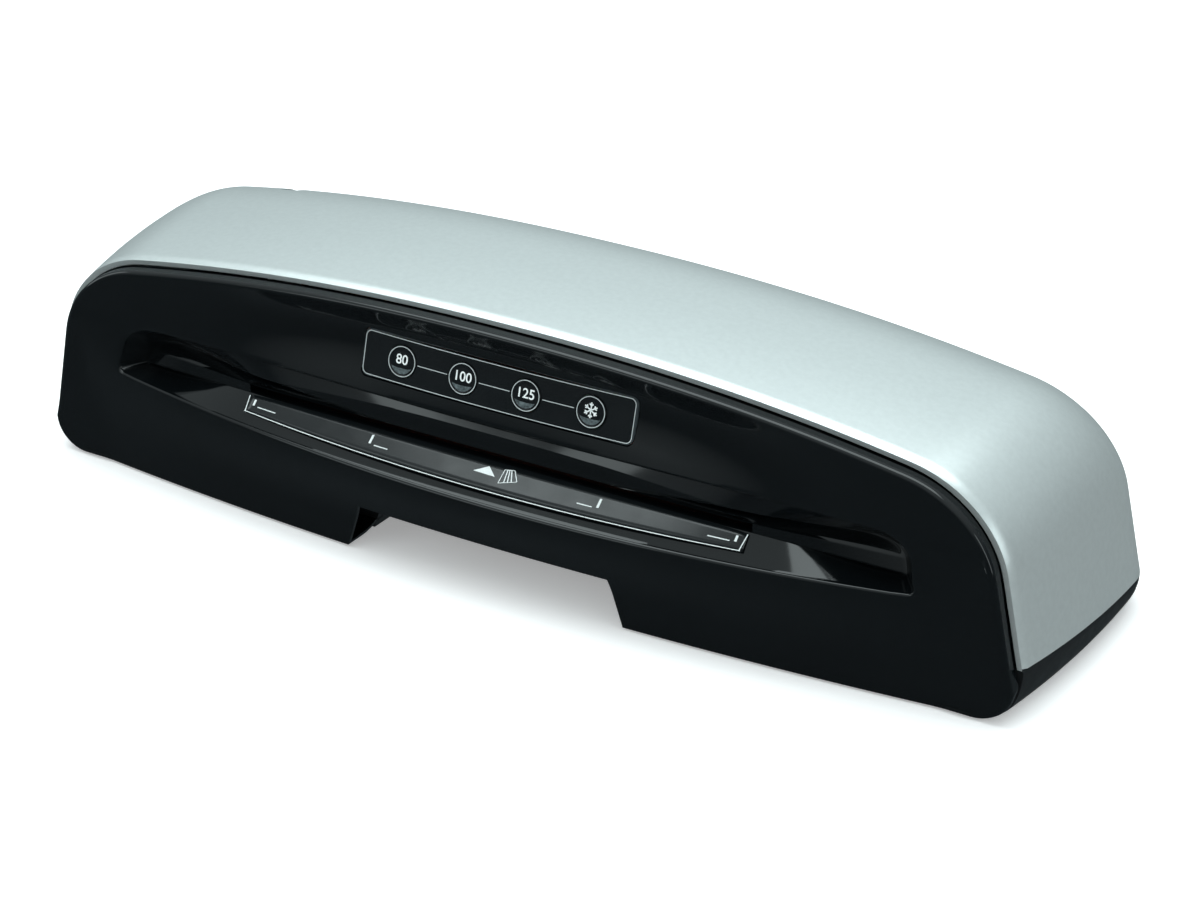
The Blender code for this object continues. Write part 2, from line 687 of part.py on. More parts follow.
def gear_outline(y, z, teeth, phase):
    """Straight-flanked teeth round a gear."""
    radius = MODULE * teeth / 2
    pitch = 2 * math.pi / teeth
    outline = []
    for i in range(teeth):
        middle = phase + pitch * i
        for reach, share in ((-1.15, -0.27), (0.85, -0.11), (0.85, 0.11), (-1.15, 0.27)):
            turn = middle + share * pitch
            size = radius + reach * MODULE
            outline.append((y + size * math.cos(turn), z + size * math.sin(turn)))
    return outline


def meshed_phase(here, there, teeth_here, phase_here, teeth_there):
    """Phase of the gear at there, so that its teeth enter the gaps of the gear at here."""
    line = math.atan2(there[1] - here[1], there[0] - here[0])
    offset = ((line - phase_here) * teeth_here / (2 * math.pi)) % 1.0
    return line + math.pi - (0.5 - offset) * 2 * math.pi / teeth_there


def build_gear(name, place, teeth, phase, bore, look="acetal"):
    """A gear on the drive side, with a round bore for its shaft."""
    y, z = place
    outer = gear_outline(y, z, teeth, phase)
    item = prism_x(name, outer, GEAR_X, GEAR_X + GEAR_WIDTH, look, origin=(0, y, z), smooth=0)
    hole = prism_x("bore_" + name, circle(y, z, bore, 16), GEAR_X - 5, GEAR_X + GEAR_WIDTH + 5, look)
    cut(item, cutter(hole))


def idler_place():
    reach = MODULE * (ROLLER_TEETH + IDLER_TEETH) / 2
    half = (EXIT_Y - INFEED_Y) / 2
    return (INFEED_Y + half, LOWER_Z - math.sqrt(reach ** 2 - half ** 2))


def pinion_place():
    reach = MODULE * (IDLER_TEETH + PINION_TEETH) / 2
    y, z = idler_place()
    return (y + reach * math.cos(PINION_ANGLE), z + reach * math.sin(PINION_ANGLE))


def build_gears():
    """Roller gears, the idler that joins the two lower ones, and the motor pinion."""
    phases = {"exit_lower": 0.0}
    idler, pinion = idler_place(), pinion_place()
    exit_lower = ROLLER_SPOTS["exit_lower"]
    infeed_lower = ROLLER_SPOTS["infeed_lower"]
    idler_phase = meshed_phase(exit_lower, idler, ROLLER_TEETH, 0.0, IDLER_TEETH)
    phases["infeed_lower"] = meshed_phase(idler, infeed_lower, IDLER_TEETH, idler_phase, ROLLER_TEETH)
    for end in ("infeed", "exit"):
        lower, upper = end + "_lower", end + "_upper"
        phases[upper] = meshed_phase(ROLLER_SPOTS[lower], ROLLER_SPOTS[upper], ROLLER_TEETH,
                                     phases[lower], ROLLER_TEETH)
    for spot, phase in phases.items():
        build_gear(spot + "_gear", ROLLER_SPOTS[spot], ROLLER_TEETH, phase, SHAFT_RADIUS + GAP)
    build_gear("idler_gear", idler, IDLER_TEETH, idler_phase, 2.5 + GAP)
    pinion_phase = meshed_phase(idler, pinion, IDLER_TEETH, idler_phase, PINION_TEETH)
    build_gear("motor_pinion", pinion, PINION_TEETH, pinion_phase, 2.0 + GAP, "brass")
    prism_x("idler_pin", circle(*idler, 2.5, 16), FRAME_X + FRAME_WALL + GAP, GEAR_X + GEAR_WIDTH + 2,
            "steel", origin=(0, *idler))


def build_motor():
    """Geared motor on the drive side: gearbox, can and output shaft."""
    y, z = pinion_place()
    start = GEAR_X + GEAR_WIDTH + 5.0
    prism_x("motor_gearbox", circle(y, z, 18.0, 24), start, start + 12.0, "steel")
    prism_x("motor_can", circle(y, z, 16.0, 24), start + 12.0 + GAP, start + 38.0, "aluminium")
    prism_x("motor_shaft", circle(y, z, 2.0, 12), GEAR_X - 1.5, start - GAP, "steel", origin=(0, y, z))


def build_heaters():
    """Aluminium plates above and below the pouch path, each with a flat heating element."""
    y0, y1 = -10.0, 20.0
    plate, element, opening = 4.0, 1.6, 1.0
    for word, side in (("lower", -1), ("upper", 1)):
        near = PATH_Z + side * opening
        far = near + side * plate
        low, high = sorted((near, far))
        box(word + "_heat_plate", (-114.0, y0, low), (114.0, y1, high), "aluminium")
        near = far + side * GAP
        far = near + side * element
        low, high = sorted((near, far))
        box(word + "_heating_element", (-108.0, y0 + 4, low), (108.0, y1 - 4, high), "mica")


def build_tie_bar():
    end = FRAME_X - GAP
    prism_x("tie_bar", circle(6.0, 80.0, 4.0, 16), -end, end, "steel")


# ---- release lever and switches ----------------------------------------------
def build_release():
    """Lever that lies flush in the cover, and the shaft it turns."""
    y, z = LEVER_PIVOT
    profile = [(-4.5, -4.0), (-1.5, -5.5), (4.5, -4.5), (23.6, 3.4), (23.8, 5.6), (20.0, 9.2),
               (16.0, 12.2), (12.0, 14.6), (10.6, 12.6), (3.5, 4.8), (-3.5, 4.6)]
    outline = [(y + py, z + pz) for py, pz in profile]
    half = LEVER_WIDTH / 2
    lever = prism_x("release_lever", outline, LEVER_X - half, LEVER_X + half, "silver",
                    origin=(LEVER_X, y, z), smooth=25)
    bore = circle(y, z, LEVER_SHAFT + GAP, 14)
    cut(lever, cutter(prism_x("bore_lever", bore, LEVER_X - 9, LEVER_X + 9, "silver")))
    prism_x("release_shaft", circle(y, z, LEVER_SHAFT, 14), LEVER_X - 7.0, -(FRAME_X - 4.0),
            "steel", origin=(0, y, z))


def build_switch():
    """Rocker switch body in the rear panel, and its rocker on a hinge."""
    (x0, x1), (z0, z1) = [(low + GAP, high - GAP) for low, high in ROCKER_HOLE]
    body = box("switch_body", (x0, 44.0, z0), (x1, REAR_EDGE_Y + 0.6, z1), "satin_black")
    well = box("switch_well", (x0 + 2.2, 55.0, z0 + 2.0), (x1 - 2.2, 80.0, z1 - 2.0), "satin_black")
    cut(body, cutter(well))
    middle = ((x0 + x1) / 2, ROCKER_PIVOT_Y, (z0 + z1) / 2)
    half = (z1 - z0) / 2 - 3.5
    profile = [(-3.8, -half * 0.45), (-3.8, half * 0.45), (1.4, half), (4.0, half), (2.8, 0.0), (1.4, -half)]
    outline = [(middle[1] + y, middle[2] + z) for y, z in profile]
    prism_x("power_rocker", outline, x0 + 2.2 + GAP, x1 - 2.2 - GAP, "gloss_black", origin=middle, smooth=0)


def build_inlet():
    """Mains inlet with its three pins, standing in a socket open to the rear."""
    (x0, x1), (z0, z1) = [(low + GAP, high - GAP) for low, high in INLET_HOLE]
    body = box("inlet_body", (x0, 42.0, z0), (x1, REAR_EDGE_Y + 0.6, z1), "satin_black")
    well = box("inlet_well", (x0 + 2.0, 48.0, z0 + 2.0), (x1 - 2.0, 80.0, z1 - 2.0), "satin_black")
    cut(body, cutter(well))
    middle_x, middle_z = (x0 + x1) / 2, (z0 + z1) / 2
    pins = {"inlet_pin_live": (-7.0, -2.0), "inlet_pin_earth": (0.0, 2.2), "inlet_pin_neutral": (7.0, -2.0)}
    for name, (dx, dz) in pins.items():
        x, z = middle_x + dx, middle_z + dz
        box(name, (x - 1.0, 48.0 + GAP, z - 2.0), (x + 1.0, 61.0, z + 2.0), "brass")


def build_boards():
    """Power board on the base and control board behind the panel."""
    box("power_board", (-206.0, -28.0, 9.0), (-134.0, 34.0, 10.6), "board_green")
    inward = Vector((0.0, math.cos(PANEL_TILT), -math.sin(PANEL_TILT)))
    up = Vector((0.0, math.sin(PANEL_TILT), math.cos(PANEL_TILT)))
    middle = Vector((0.0, panel_y(0.0, BUTTON_Z), BUTTON_Z))
    rings = []
    for depth in (6.4, 8.0):
        rings.append([tuple(middle + inward * depth + up * dz + Vector((dx, 0, 0)))
                      for dx, dz in ((-56.0, -7.0), (56.0, -7.0), (56.0, 7.0), (-56.0, 7.0))])
    loft("control_board", rings, "board_green", smooth=0)


def build_feet():
    """Four rubber feet let into the base."""
    for word_x, x in (("left", -180.0), ("right", 180.0)):
        for word_y, y in (("front", -34.0), ("rear", 42.0)):
            ring = [(x + 8.0 * math.cos(t), y + 8.0 * math.sin(t))
                    for t in (2 * math.pi * i / 20 for i in range(20))]
            rings = [[(px, py, z) for px, py in ring] for z in (0.0, BASE_BOTTOM - 0.3)]
            loft("foot_%s_%s" % (word_y, word_x), rings, "rubber")


def build():
    clear_scene()
    build_fascia()
    build_cover()
    build_base()
    build_rear_panel()
    build_control_panel()
    build_buttons()
    build_label_strip()
    build_side_frames()
    build_rollers()
    build_gears()
    build_motor()
    build_heaters()
    build_tie_bar()
    build_release()
    build_switch()
    build_inlet()
    build_boards()
    build_feet()


build()
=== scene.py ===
"""Looks of an A4 pouch laminator: fine skins, print, materials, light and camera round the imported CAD.

Lengths are in millimetres and MM turns them into metres. X runs along the rollers, -Y is the front with
the pouch entry, +Z is up, as in the CAD.
"""

import json
import math

import bmesh
import bpy
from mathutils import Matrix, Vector


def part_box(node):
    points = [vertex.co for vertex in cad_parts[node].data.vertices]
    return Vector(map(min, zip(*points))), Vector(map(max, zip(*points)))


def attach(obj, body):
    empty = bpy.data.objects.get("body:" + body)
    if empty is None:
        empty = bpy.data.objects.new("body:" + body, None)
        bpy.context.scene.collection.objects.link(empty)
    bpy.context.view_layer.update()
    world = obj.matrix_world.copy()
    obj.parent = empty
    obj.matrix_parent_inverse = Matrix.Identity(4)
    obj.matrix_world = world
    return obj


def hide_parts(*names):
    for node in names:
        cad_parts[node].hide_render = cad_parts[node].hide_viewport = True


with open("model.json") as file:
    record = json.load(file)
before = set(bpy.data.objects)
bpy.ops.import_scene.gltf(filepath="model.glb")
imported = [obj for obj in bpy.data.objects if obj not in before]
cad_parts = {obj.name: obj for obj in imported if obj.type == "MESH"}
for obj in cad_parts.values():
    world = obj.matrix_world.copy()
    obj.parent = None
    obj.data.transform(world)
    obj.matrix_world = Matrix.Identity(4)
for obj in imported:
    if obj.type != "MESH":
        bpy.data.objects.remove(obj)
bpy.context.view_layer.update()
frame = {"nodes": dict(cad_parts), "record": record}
MM = 0.001


def box_mm(node):
    low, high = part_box(node)
    return low / MM, high / MM


COVER_LOW, COVER_HIGH = box_mm("top_cover")
BASE_LOW, BASE_HIGH = box_mm("base_tray")
PANEL_LOW, PANEL_HIGH = box_mm("control_panel")

# ---- casing, as in the CAD ---------------------------------------------------
COVER_FRONT = COVER_LOW.y
COVER_WALL = 2.0
EDGE_TOP = 107.7
CROWN = COVER_HIGH.z
CROWN_Y = 5.0
SHOULDER_REACH = 66.0
SHOULDER_POWER = 3.2
REAR_EDGE_Y = COVER_HIGH.y
REAR_CORNER = 22.0
REAR_Y = BASE_HIGH.y
PARTING_FRONT = 22.0
PARTING_REAR = 15.0
SIDE_LEAN = 0.215
FRONT_HALF_WIDTH = 215.0
REAR_HALF_WIDTH = BASE_HIGH.x
BASE_BOTTOM = BASE_LOW.z
BASE_FRONT = BASE_LOW.y
BASE_WALL = 2.2
ROLLED_EDGE = 8.5
TOP_END = 168.0
SIDE_START = 58.0
FOOT_RADIUS = 13.0

# ---- fascia and pouch entry --------------------------------------------------
FACE_EDGE_Y = -50.3
FACE_INSET = 4.5
LIP_FORWARD = 17.2
LIP_BOW = 4.5e-4
SKIRT_FORWARD = 10.5
SKIRT_BOW = 3.0e-4
SCOOP_DEPTH = 5.6
BROW_FORWARD = 2.2
MOUTH_TOP = 66.5
MOUTH_BOTTOM = 46.6
LIP_SAG = 4.2
MOUTH_HALF = 175.6
WALL_Y_MID = -52.2
WALL_Y_END = -43.5
WALL_LEAN = 0.5
FOOT_Z = 52.9
FOOT_DROP = 5.1
SLIT_HALF = 111.0
SLIT_BOTTOM = 53.0
SLIT_TOP = 56.6
NOTCH_TOP = 21.0
NOTCH_HALF_TOP = 57.5
NOTCH_HALF_FOOT = 65.7
NOTCH_REAR = -14.0
PANEL_BOW = 4.5e-4
PANEL_TILT = math.radians(16.5)
PANEL_MIDDLE = (PANEL_LOW.z + PANEL_HIGH.z) / 2
PANEL_MID_Y = -47.9
BUTTONS = ("button_80", "button_100", "button_125", "button_cold")

FASCIA_WALL = 1.6
FACE_BEAD = 1.9
FACE_STEPS = 26
WINDOW_GAP = 0.35

# ---- control panel, buttons, print and painted highlights ----------------------
PANEL_WALL = 1.6
PANEL_RADIUS = 3.0
PANEL_BEVEL = 0.4
PANEL_MID_Z = 82.15
BUTTON_HOLE = 6.6
RING_RADIUS = 5.85
RING_LIFT = 0.44
# radius of the paler crescent at each button's foot, a painted highlight of the dome
CRESCENT_HIGHLIGHT_RADIUS = 4.9
PRINT_LIFT = 0.06
LINE_WIDTH = 0.3

# ---- label strip ---------------------------------------------------------------
LABEL_REAR_Y = -52.9
LABEL_FRONT_BACK = 3.6
LABEL_RISE = 1.0
NOSE_BACK = 2.2
NOSE_RISE = 2.0
WIDE_TICK = 106.5
PHOTO_TICK = 50.4

# points along each stretch of the fine outline
TOP_COUNT, CORNER_COUNT, SIDE_COUNT, FOOT_COUNT, BOTTOM_COUNT = 41, 22, 12, 12, 41
LIP_START = TOP_COUNT + CORNER_COUNT
ACROSS = Vector((1.0, 0.0, 0.0))


# ---- mesh helpers --------------------------------------------------------------
def new_object(name, points, faces, smooth=35):
    """A mesh object from points in mm, normals outwards."""
    mesh = bpy.data.meshes.new(name)
    mesh.from_pydata([Vector(p) * MM for p in points], [], faces)
    work = bmesh.new()
    work.from_mesh(mesh)
    bmesh.ops.recalc_face_normals(work, faces=work.faces)
    work.to_mesh(mesh)
    work.free()
    if smooth:
        mesh.shade_smooth()
        mesh.set_sharp_from_angle(angle=math.radians(smooth))
    item = bpy.data.objects.new(name, mesh)
    bpy.context.collection.objects.link(item)
    return item


def loft(name, rings, capped=True, smooth=35, loop=True):
    """A skin over rings of equal length."""
    count = len(rings[0])
    points = [p for ring in rings for p in ring]
    faces = []
    for level in range(len(rings) - 1):
        low, high = level * count, (level + 1) * count
        for i in range(count if loop else count - 1):
            j = (i + 1) % count
            faces.append((low + i, low + j, high + j, high + i))
    if capped:
        faces.append(tuple(reversed(range(count))))
        faces.append(tuple(range(len(points) - count, len(points))))
    return new_object(name, points, faces, smooth)


def lathe(name, profile, place, inward, sides=64):
    """A round piece turned about the axis inward through place; profile is (radius, depth)."""
    up = Vector((0.0, -inward.z, inward.y))
    side = Vector((1.0, 0.0, 0.0))
    rings = []
    for radius, depth in profile:
        ring = []
        for i in range(sides):
            turn = 2 * math.pi * i / sides
            point = Vector(place) + inward * depth
            ring.append(tuple(point + side * radius * math.cos(turn) + up * radius * math.sin(turn)))
        rings.append(ring)
    return loft(name, rings)


def cut(item, tool, operation="DIFFERENCE"):
    """Applies a Boolean and removes its tool."""
    step = item.modifiers.new("cut", "BOOLEAN")
    step.object = tool
    step.operation = operation
    step.solver = "EXACT"
    apply_modifiers(item)
    bpy.data.objects.remove(tool, do_unlink=True)


def apply_modifiers(item):
    graph = bpy.context.evaluated_depsgraph_get()
    mesh = bpy.data.meshes.new_from_object(item.evaluated_get(graph))
    item.modifiers.clear()
    item.data = mesh
    item.data.name = item.name


def box(name, low, high):
    (x0, y0, z0), (x1, y1, z1) = low, high
    ring = [(x0, y0), (x1, y0), (x1, y1), (x0, y1)]
    return loft(name, [[(x, y, z) for x, y in ring] for z in (z0, z1)], smooth=0)


def smoothstep(value):
    t = min(1.0, max(0.0, value))
    return t * t * (3 - 2 * t)


def bezier(start, corner, end, count, pull=0.6):
    out = []
    for i in range(count):
        t = i / (count - 1)
        weights = ((1 - t) ** 3, 3 * t * (1 - t) ** 2, 3 * t * t * (1 - t), t ** 3)
        inner = [tuple(p[k] + pull * (corner[k] - p[k]) for k in (0, 1)) for p in (start, end)]
        guides = (start, inner[0], inner[1], end)
        out.append(tuple(sum(w * g[k] for w, g in zip(weights, guides)) for k in (0, 1)))
    return out


def spread(start, end, count, first=True):
    indices = range(0 if first else 1, count + 1)
    return [tuple(a + (b - a) * i / count for a, b in zip(start, end)) for i in indices]


def mirrored(half):
    return list(half) + [(-p[0], *p[1:]) for p in reversed(half[1:-1])]


# ---- outlines ------------------------------------------------------------------
def arch_height(x):
    return EDGE_TOP - 10.6 * (abs(x) / 151.0) ** 2.2


def side_x(z):
    return FRONT_HALF_WIDTH - SIDE_LEAN * (z - PARTING_FRONT)


def arch_half():
    points = [(x, arch_height(x)) for x, _ in spread((0.0, 0.0), (TOP_END, 0.0), TOP_COUNT - 1)]
    corner = (side_x(88.6), 88.6)
    points += bezier(points[-1], corner, (side_x(SIDE_START), SIDE_START), CORNER_COUNT)[1:]
    step = (SIDE_START - PARTING_FRONT) / SIDE_COUNT
    return points + [(side_x(z), z) for z in (SIDE_START - step * (i + 1) for i in range(SIDE_COUNT))]


def offset_half(points, distance):
    out = []
    for i, (x, z) in enumerate(points):
        before, after = points[max(i - 1, 0)], points[min(i + 1, len(points) - 1)]
        dx, dz = after[0] - before[0], after[1] - before[1]
        if i == 0:
            dx, dz = 1.0, 0.0
        size = math.hypot(dx, dz)
        out.append((x + dz / size * distance, z - dx / size * distance))
    return out


def closed_half(inset, low):
    points = offset_half(arch_half(), inset)
    foot_x = side_x(FOOT_RADIUS) - inset
    points += bezier((foot_x, FOOT_RADIUS + low), (foot_x, low), (foot_x - FOOT_RADIUS, low),
                     FOOT_COUNT, 0.55)
    return points + spread((foot_x - FOOT_RADIUS, low), (0.0, low), BOTTOM_COUNT, first=False)


def half_width(y, extra=0.0):
    taper = (REAR_HALF_WIDTH - FRONT_HALF_WIDTH) * (max(0.0, 48.0 - y) / 92.0) ** 2
    back = min(max(0.0, y - (REAR_Y + extra - REAR_CORNER)), REAR_CORNER)
    return REAR_HALF_WIDTH - taper + extra - (REAR_CORNER - math.sqrt(REAR_CORNER ** 2 - back ** 2))


def top_height(y, extra=0.0):
    if y < CROWN_Y:
        return CROWN + extra - (CROWN - EDGE_TOP) * ((CROWN_Y - y) / (CROWN_Y - COVER_FRONT)) ** 2
    fall = min(1.0, (y - CROWN_Y) / (SHOULDER_REACH + extra))
    return 20.0 + (CROWN + extra - 20.0) * (1 - fall ** SHOULDER_POWER) ** (1 / SHOULDER_POWER)


def parting_height(y):
    return PARTING_FRONT + (PARTING_REAR - PARTING_FRONT) * (y - COVER_FRONT) / 92.0


def casing_station(y, extra=0.0):
    low, high = parting_height(y), top_height(y, extra)
    width = half_width(y, extra) / FRONT_HALF_WIDTH
    rise = (high - low) / (EDGE_TOP - PARTING_FRONT)
    return [(x * width, y, low + (z - PARTING_FRONT) * rise) for x, z in arch_half()]


# ---- silver cover ----------------------------------------------------------------
def open_loop(half):
    return [(-x, y, z) for x, y, z in reversed(half[1:])] + list(half)


def cover_rings():
    """Outer loops from front to rear, then inner loops back to the front, with a rounded front edge."""
    ys = [COVER_FRONT + 1.1 + 2.2 * i for i in range(3)]
    ys += [COVER_FRONT + 8.0 + (REAR_EDGE_Y - COVER_FRONT - 8.0) * (i / 40) ** 0.8 for i in range(41)]
    rings = []
    for turn in (0, 18, 36, 54, 72, 90):
        angle = math.radians(turn)
        y = COVER_FRONT + 1.1 * (1 - math.sin(angle))
        rings.append(open_loop(casing_station(y, -1.1 * (1 - math.cos(math.pi / 2 - angle)))))
    rings = rings[::-1]
    outer = [open_loop(casing_station(y)) for y in ys[1:]]
    inner = [open_loop(casing_station(y, -COVER_WALL)) for y in reversed(ys)]
    return rings + outer + inner + [open_loop(casing_station(COVER_FRONT + 0.05, -COVER_WALL))]


def make_cover():
    rings = cover_rings()
    cover = loft("cover_skin", rings + [rings[0]], capped=False, loop=False, smooth=50)
    work = bmesh.new()
    work.from_mesh(cover.data)
    bmesh.ops.remove_doubles(work, verts=work.verts, dist=1e-6)
    edges = [e for e in work.edges if e.is_boundary]
    bmesh.ops.holes_fill(work, edges=edges, sides=0)
    bmesh.ops.recalc_face_normals(work, faces=work.faces)
    work.to_mesh(cover.data)
    work.free()
    low, high = box_mm("release_lever")
    middle, half = (low.x + high.x) / 2, (high.x - low.x) / 2 + 1.0
    slot = box("slot_tool", (middle - half, 37.5, 78.0), (middle + half, 58.5, 130.0))
    cut(cover, slot)
    cover.data.shade_smooth()
    cover.data.set_sharp_from_angle(angle=math.radians(50))
    return cover


# ---- fascia ----------------------------------------------------------------------
def scoop_share(x):
    return 1 - smoothstep((abs(x) - 45.0) / 105.0)


def upper_y(x, z, top):
    v = min(1.0, max(0.0, (z - MOUTH_TOP) / (top - MOUTH_TOP)))
    share = scoop_share(x)
    hollow = SCOOP_DEPTH * math.sin(math.pi * v ** 1.5) + PANEL_BOW * x * x * math.sin(math.pi * v)
    brow = BROW_FORWARD * (1 - v) ** 3
    return FACE_EDGE_Y + share * hollow - brow * (0.35 + 0.65 * share)


def mouth_bottom(x):
    return MOUTH_BOTTOM - LIP_SAG * (1 - (x / MOUTH_HALF) ** 2)


def lower_y(x, z):
    lip = math.sqrt(max(0.0, LIP_FORWARD - LIP_BOW * x * x) ** 2 + 0.01)
    foot = max(0.0, SKIRT_FORWARD - SKIRT_BOW * x * x)
    share = smoothstep((z - 14.0) / (mouth_bottom(x) - 14.0))
    return FACE_EDGE_Y - foot - (lip - foot) * share


def face_y(x, z, top):
    if z >= MOUTH_TOP:
        return upper_y(x, z, top)
    low = mouth_bottom(x)
    if z <= low:
        return lower_y(x, z)
    share = smoothstep((z - low) / (MOUTH_TOP - low))
    return lower_y(x, low) * (1 - share) + upper_y(x, MOUTH_TOP, top) * share


def wall_y(x):
    return WALL_Y_MID + (WALL_Y_END - WALL_Y_MID) * smoothstep((abs(x) - 100.0) / 68.0)


def wall_lean(x):
    return WALL_LEAN * smoothstep((abs(x) - 90.0) / 40.0)


def foot_z(x):
    return FOOT_Z - FOOT_DROP * smoothstep((abs(x) - 105.0) / 60.0)


def mouth_half():
    points = spread((0.0, MOUTH_TOP), (158.0, MOUTH_TOP + 0.6), TOP_COUNT - 1)
    points += bezier((158.0, MOUTH_TOP + 0.6), (171.5, MOUTH_TOP + 0.2), (173.3, 57.0), CORNER_COUNT)[1:]
    points += spread((173.3, 57.0), (MOUTH_HALF - 0.8, 50.0), SIDE_COUNT, first=False)
    points += bezier((MOUTH_HALF - 0.4, 48.6), (MOUTH_HALF, MOUTH_BOTTOM),
                     (MOUTH_HALF - 4.0, MOUTH_BOTTOM), FOOT_COUNT)
    sill = spread((MOUTH_HALF - 4.0, 0.0), (0.0, 0.0), BOTTOM_COUNT, first=False)
    return points + [(x, mouth_bottom(x)) for x, _ in sill]


def wall_half():
    top = spread((0.0, 0.0), (152.0, 0.0), TOP_COUNT - 1)
    points = [(x, 64.2 - 5.6 * smoothstep((x - 20.0) / 132.0)) for x, _ in top]
    points += bezier((152.0, 58.6), (165.0, 58.0), (167.0, 53.0), CORNER_COUNT)[1:]
    points += spread((167.0, 53.0), (168.6, 48.9), SIDE_COUNT, first=False)
    points += bezier((168.7, 48.4), (169.0, 47.5), (165.0, 47.8), FOOT_COUNT)
    points += [(x, foot_z(x)) for x, _ in spread((165.0, 0.0), (0.0, 0.0), BOTTOM_COUNT, first=False)]
    return [(x, wall_y(x) + wall_lean(x) * (z - foot_z(x)), z) for x, z in points]


def slit_half(back):
    upper, side = TOP_COUNT + CORNER_COUNT - 1, SIDE_COUNT
    lower = FOOT_COUNT + BOTTOM_COUNT
    points = [(SLIT_HALF * i / (upper - 1), SLIT_TOP) for i in range(upper)]
    points += [(SLIT_HALF, SLIT_TOP + (SLIT_BOTTOM - SLIT_TOP) * (i + 1) / (side + 1)) for i in range(side)]
    points += [(SLIT_HALF * (1 - i / (lower - 1)), SLIT_BOTTOM) for i in range(lower)]
    return [(x, wall_y(x) + back, z) for x, z in points]


def lip_radius(i, x):
    """Radius that the mouth's edge is rounded to: small above, generous on the lower lip."""
    if i < LIP_START:
        return 1.6
    low_share = smoothstep((i - LIP_START + 1) / (SIDE_COUNT + FOOT_COUNT))
    return 1.3 + 0.7 * (1 - smoothstep(abs(x) / MOUTH_HALF)) * low_share


def inward_normals(half):
    """Unit normals in the XZ plane, pointing into the mouth."""
    out = []
    for i in range(len(half)):
        before, after = half[max(i - 1, 0)], half[min(i + 1, len(half) - 1)]
        dx, dz = after[0] - before[0], after[1] - before[1]
        size = math.hypot(dx, dz)
        out.append((dz / size, -dx / size))
    return out


def blend_rings(first, second, share):
    return [tuple(a + (b - a) * share for a, b in zip(p, q)) for p, q in zip(first, second)]


def face_rings():
    """Half outlines from the slit out over the wall, the mouth's edge, the face and its bead."""
    mouth, low = mouth_half(), BASE_BOTTOM
    edge = closed_half(FACE_INSET, low)
    normals = inward_normals(mouth)
    tops = [edge[min(i, TOP_COUNT + CORNER_COUNT - 2)][1] for i in range(len(edge))]
    starts, radii = [], []
    for i, ((x, z), (nx, nz)) in enumerate(zip(mouth, normals)):
        radius = lip_radius(i, x)
        radii.append(radius)
        starts.append((x - nx * radius, z - nz * radius))
    lips = []
    for turn in (90, 72, 54, 36, 18, 0):
        angle = math.radians(turn)
        ring = []
        for i, ((x, z), (nx, nz)) in enumerate(zip(starts, normals)):
            reach = radii[i] * math.sin(angle)
            y = face_y(x, z, tops[i]) + radii[i] * (1 - math.cos(angle))
            ring.append((x + nx * reach, y, z + nz * reach))
        lips.append(ring)
    wall = wall_half()
    between = [blend_rings(wall, lips[0], step) for step in (0.06, 0.35, 0.65, 0.94)]
    rings = [slit_half(9.0), slit_half(0.6), slit_half(0.0)]
    for step in (0.5, 0.97):
        rings.append(blend_rings(slit_half(0.0), wall, step))
    rings += [wall] + between + lips
    for k in range(1, FACE_STEPS + 1):
        share = k / FACE_STEPS
        ring = []
        for i, ((x0, z0), (x1, z1)) in enumerate(zip(starts, edge)):
            x, z = x0 + (x1 - x0) * share, z0 + (z1 - z0) * share
            ring.append((x, face_y(x, z, tops[i]), z))
        rings.append(ring)
    for turn in (18, 36, 54, 72, 90):
        angle = math.radians(turn)
        outline = closed_half(FACE_INSET - FACE_BEAD * math.sin(angle), low + 0.3 * math.sin(angle))
        y = FACE_EDGE_Y + FACE_BEAD * (1 - math.cos(angle))
        rings.append([(x, y, z) for x, z in outline])
    for back, inset, lift in ((-0.6, 2.6, 1.6), (0.5, 4.8, 2.6), (5.0, 5.0, 3.2)):
        rings.append([(x, COVER_FRONT + back, z) for x, z in closed_half(inset, low + lift)])
    return [mirrored(ring) for ring in rings]


def notch_block(name, grow, front=-80.0, low=-5.0):
    top, foot = NOTCH_HALF_TOP + grow, NOTCH_HALF_FOOT + grow
    rings = []
    for y, taper in ((front, 0.0), (NOTCH_REAR + grow, 0.2 * (NOTCH_REAR - COVER_FRONT))):
        rings.append([(-foot + taper, y, low), (foot - taper, y, low),
                      (top - taper, y, NOTCH_TOP + grow), (-top + taper, y, NOTCH_TOP + grow)])
    return loft(name, rings, smooth=0)


def panel_outline(half, tall, radius=PANEL_RADIUS):
    """Rounded rectangle in the XZ plane."""
    out = []
    for quarter, (sx, sz) in enumerate(((1, 1), (-1, 1), (-1, -1), (1, -1))):
        for i in range(8):
            turn = math.radians(90 * quarter + 90 * i / 7)
            out.append((sx * (half - radius) + radius * math.cos(turn),
                        sz * (tall - radius) + radius * math.sin(turn)))
    return out


def make_fascia():
    fascia = loft("fascia_skin", face_rings(), capped=False, smooth=50)
    wall = fascia.modifiers.new("wall", "SOLIDIFY")
    wall.thickness = FASCIA_WALL * MM
    wall.offset = -1.0
    apply_modifiers(fascia)
    cut(fascia, notch_block("notch_tool", 0.0))
    half, tall = PANEL_HIGH.x + WINDOW_GAP, (PANEL_HIGH.z - PANEL_LOW.z) / 2 + WINDOW_GAP
    window = panel_outline(half, tall)
    cut(fascia, loft("window_tool", [[(x, y, PANEL_MIDDLE + z) for x, z in window] for y in (-60.0, -30.0)]))
    fascia.data.shade_smooth()
    fascia.data.set_sharp_from_angle(angle=math.radians(32))
    even = fascia.modifiers.new("normals", "WEIGHTED_NORMAL")
    even.keep_sharp = True
    even.weight = 100
    return fascia


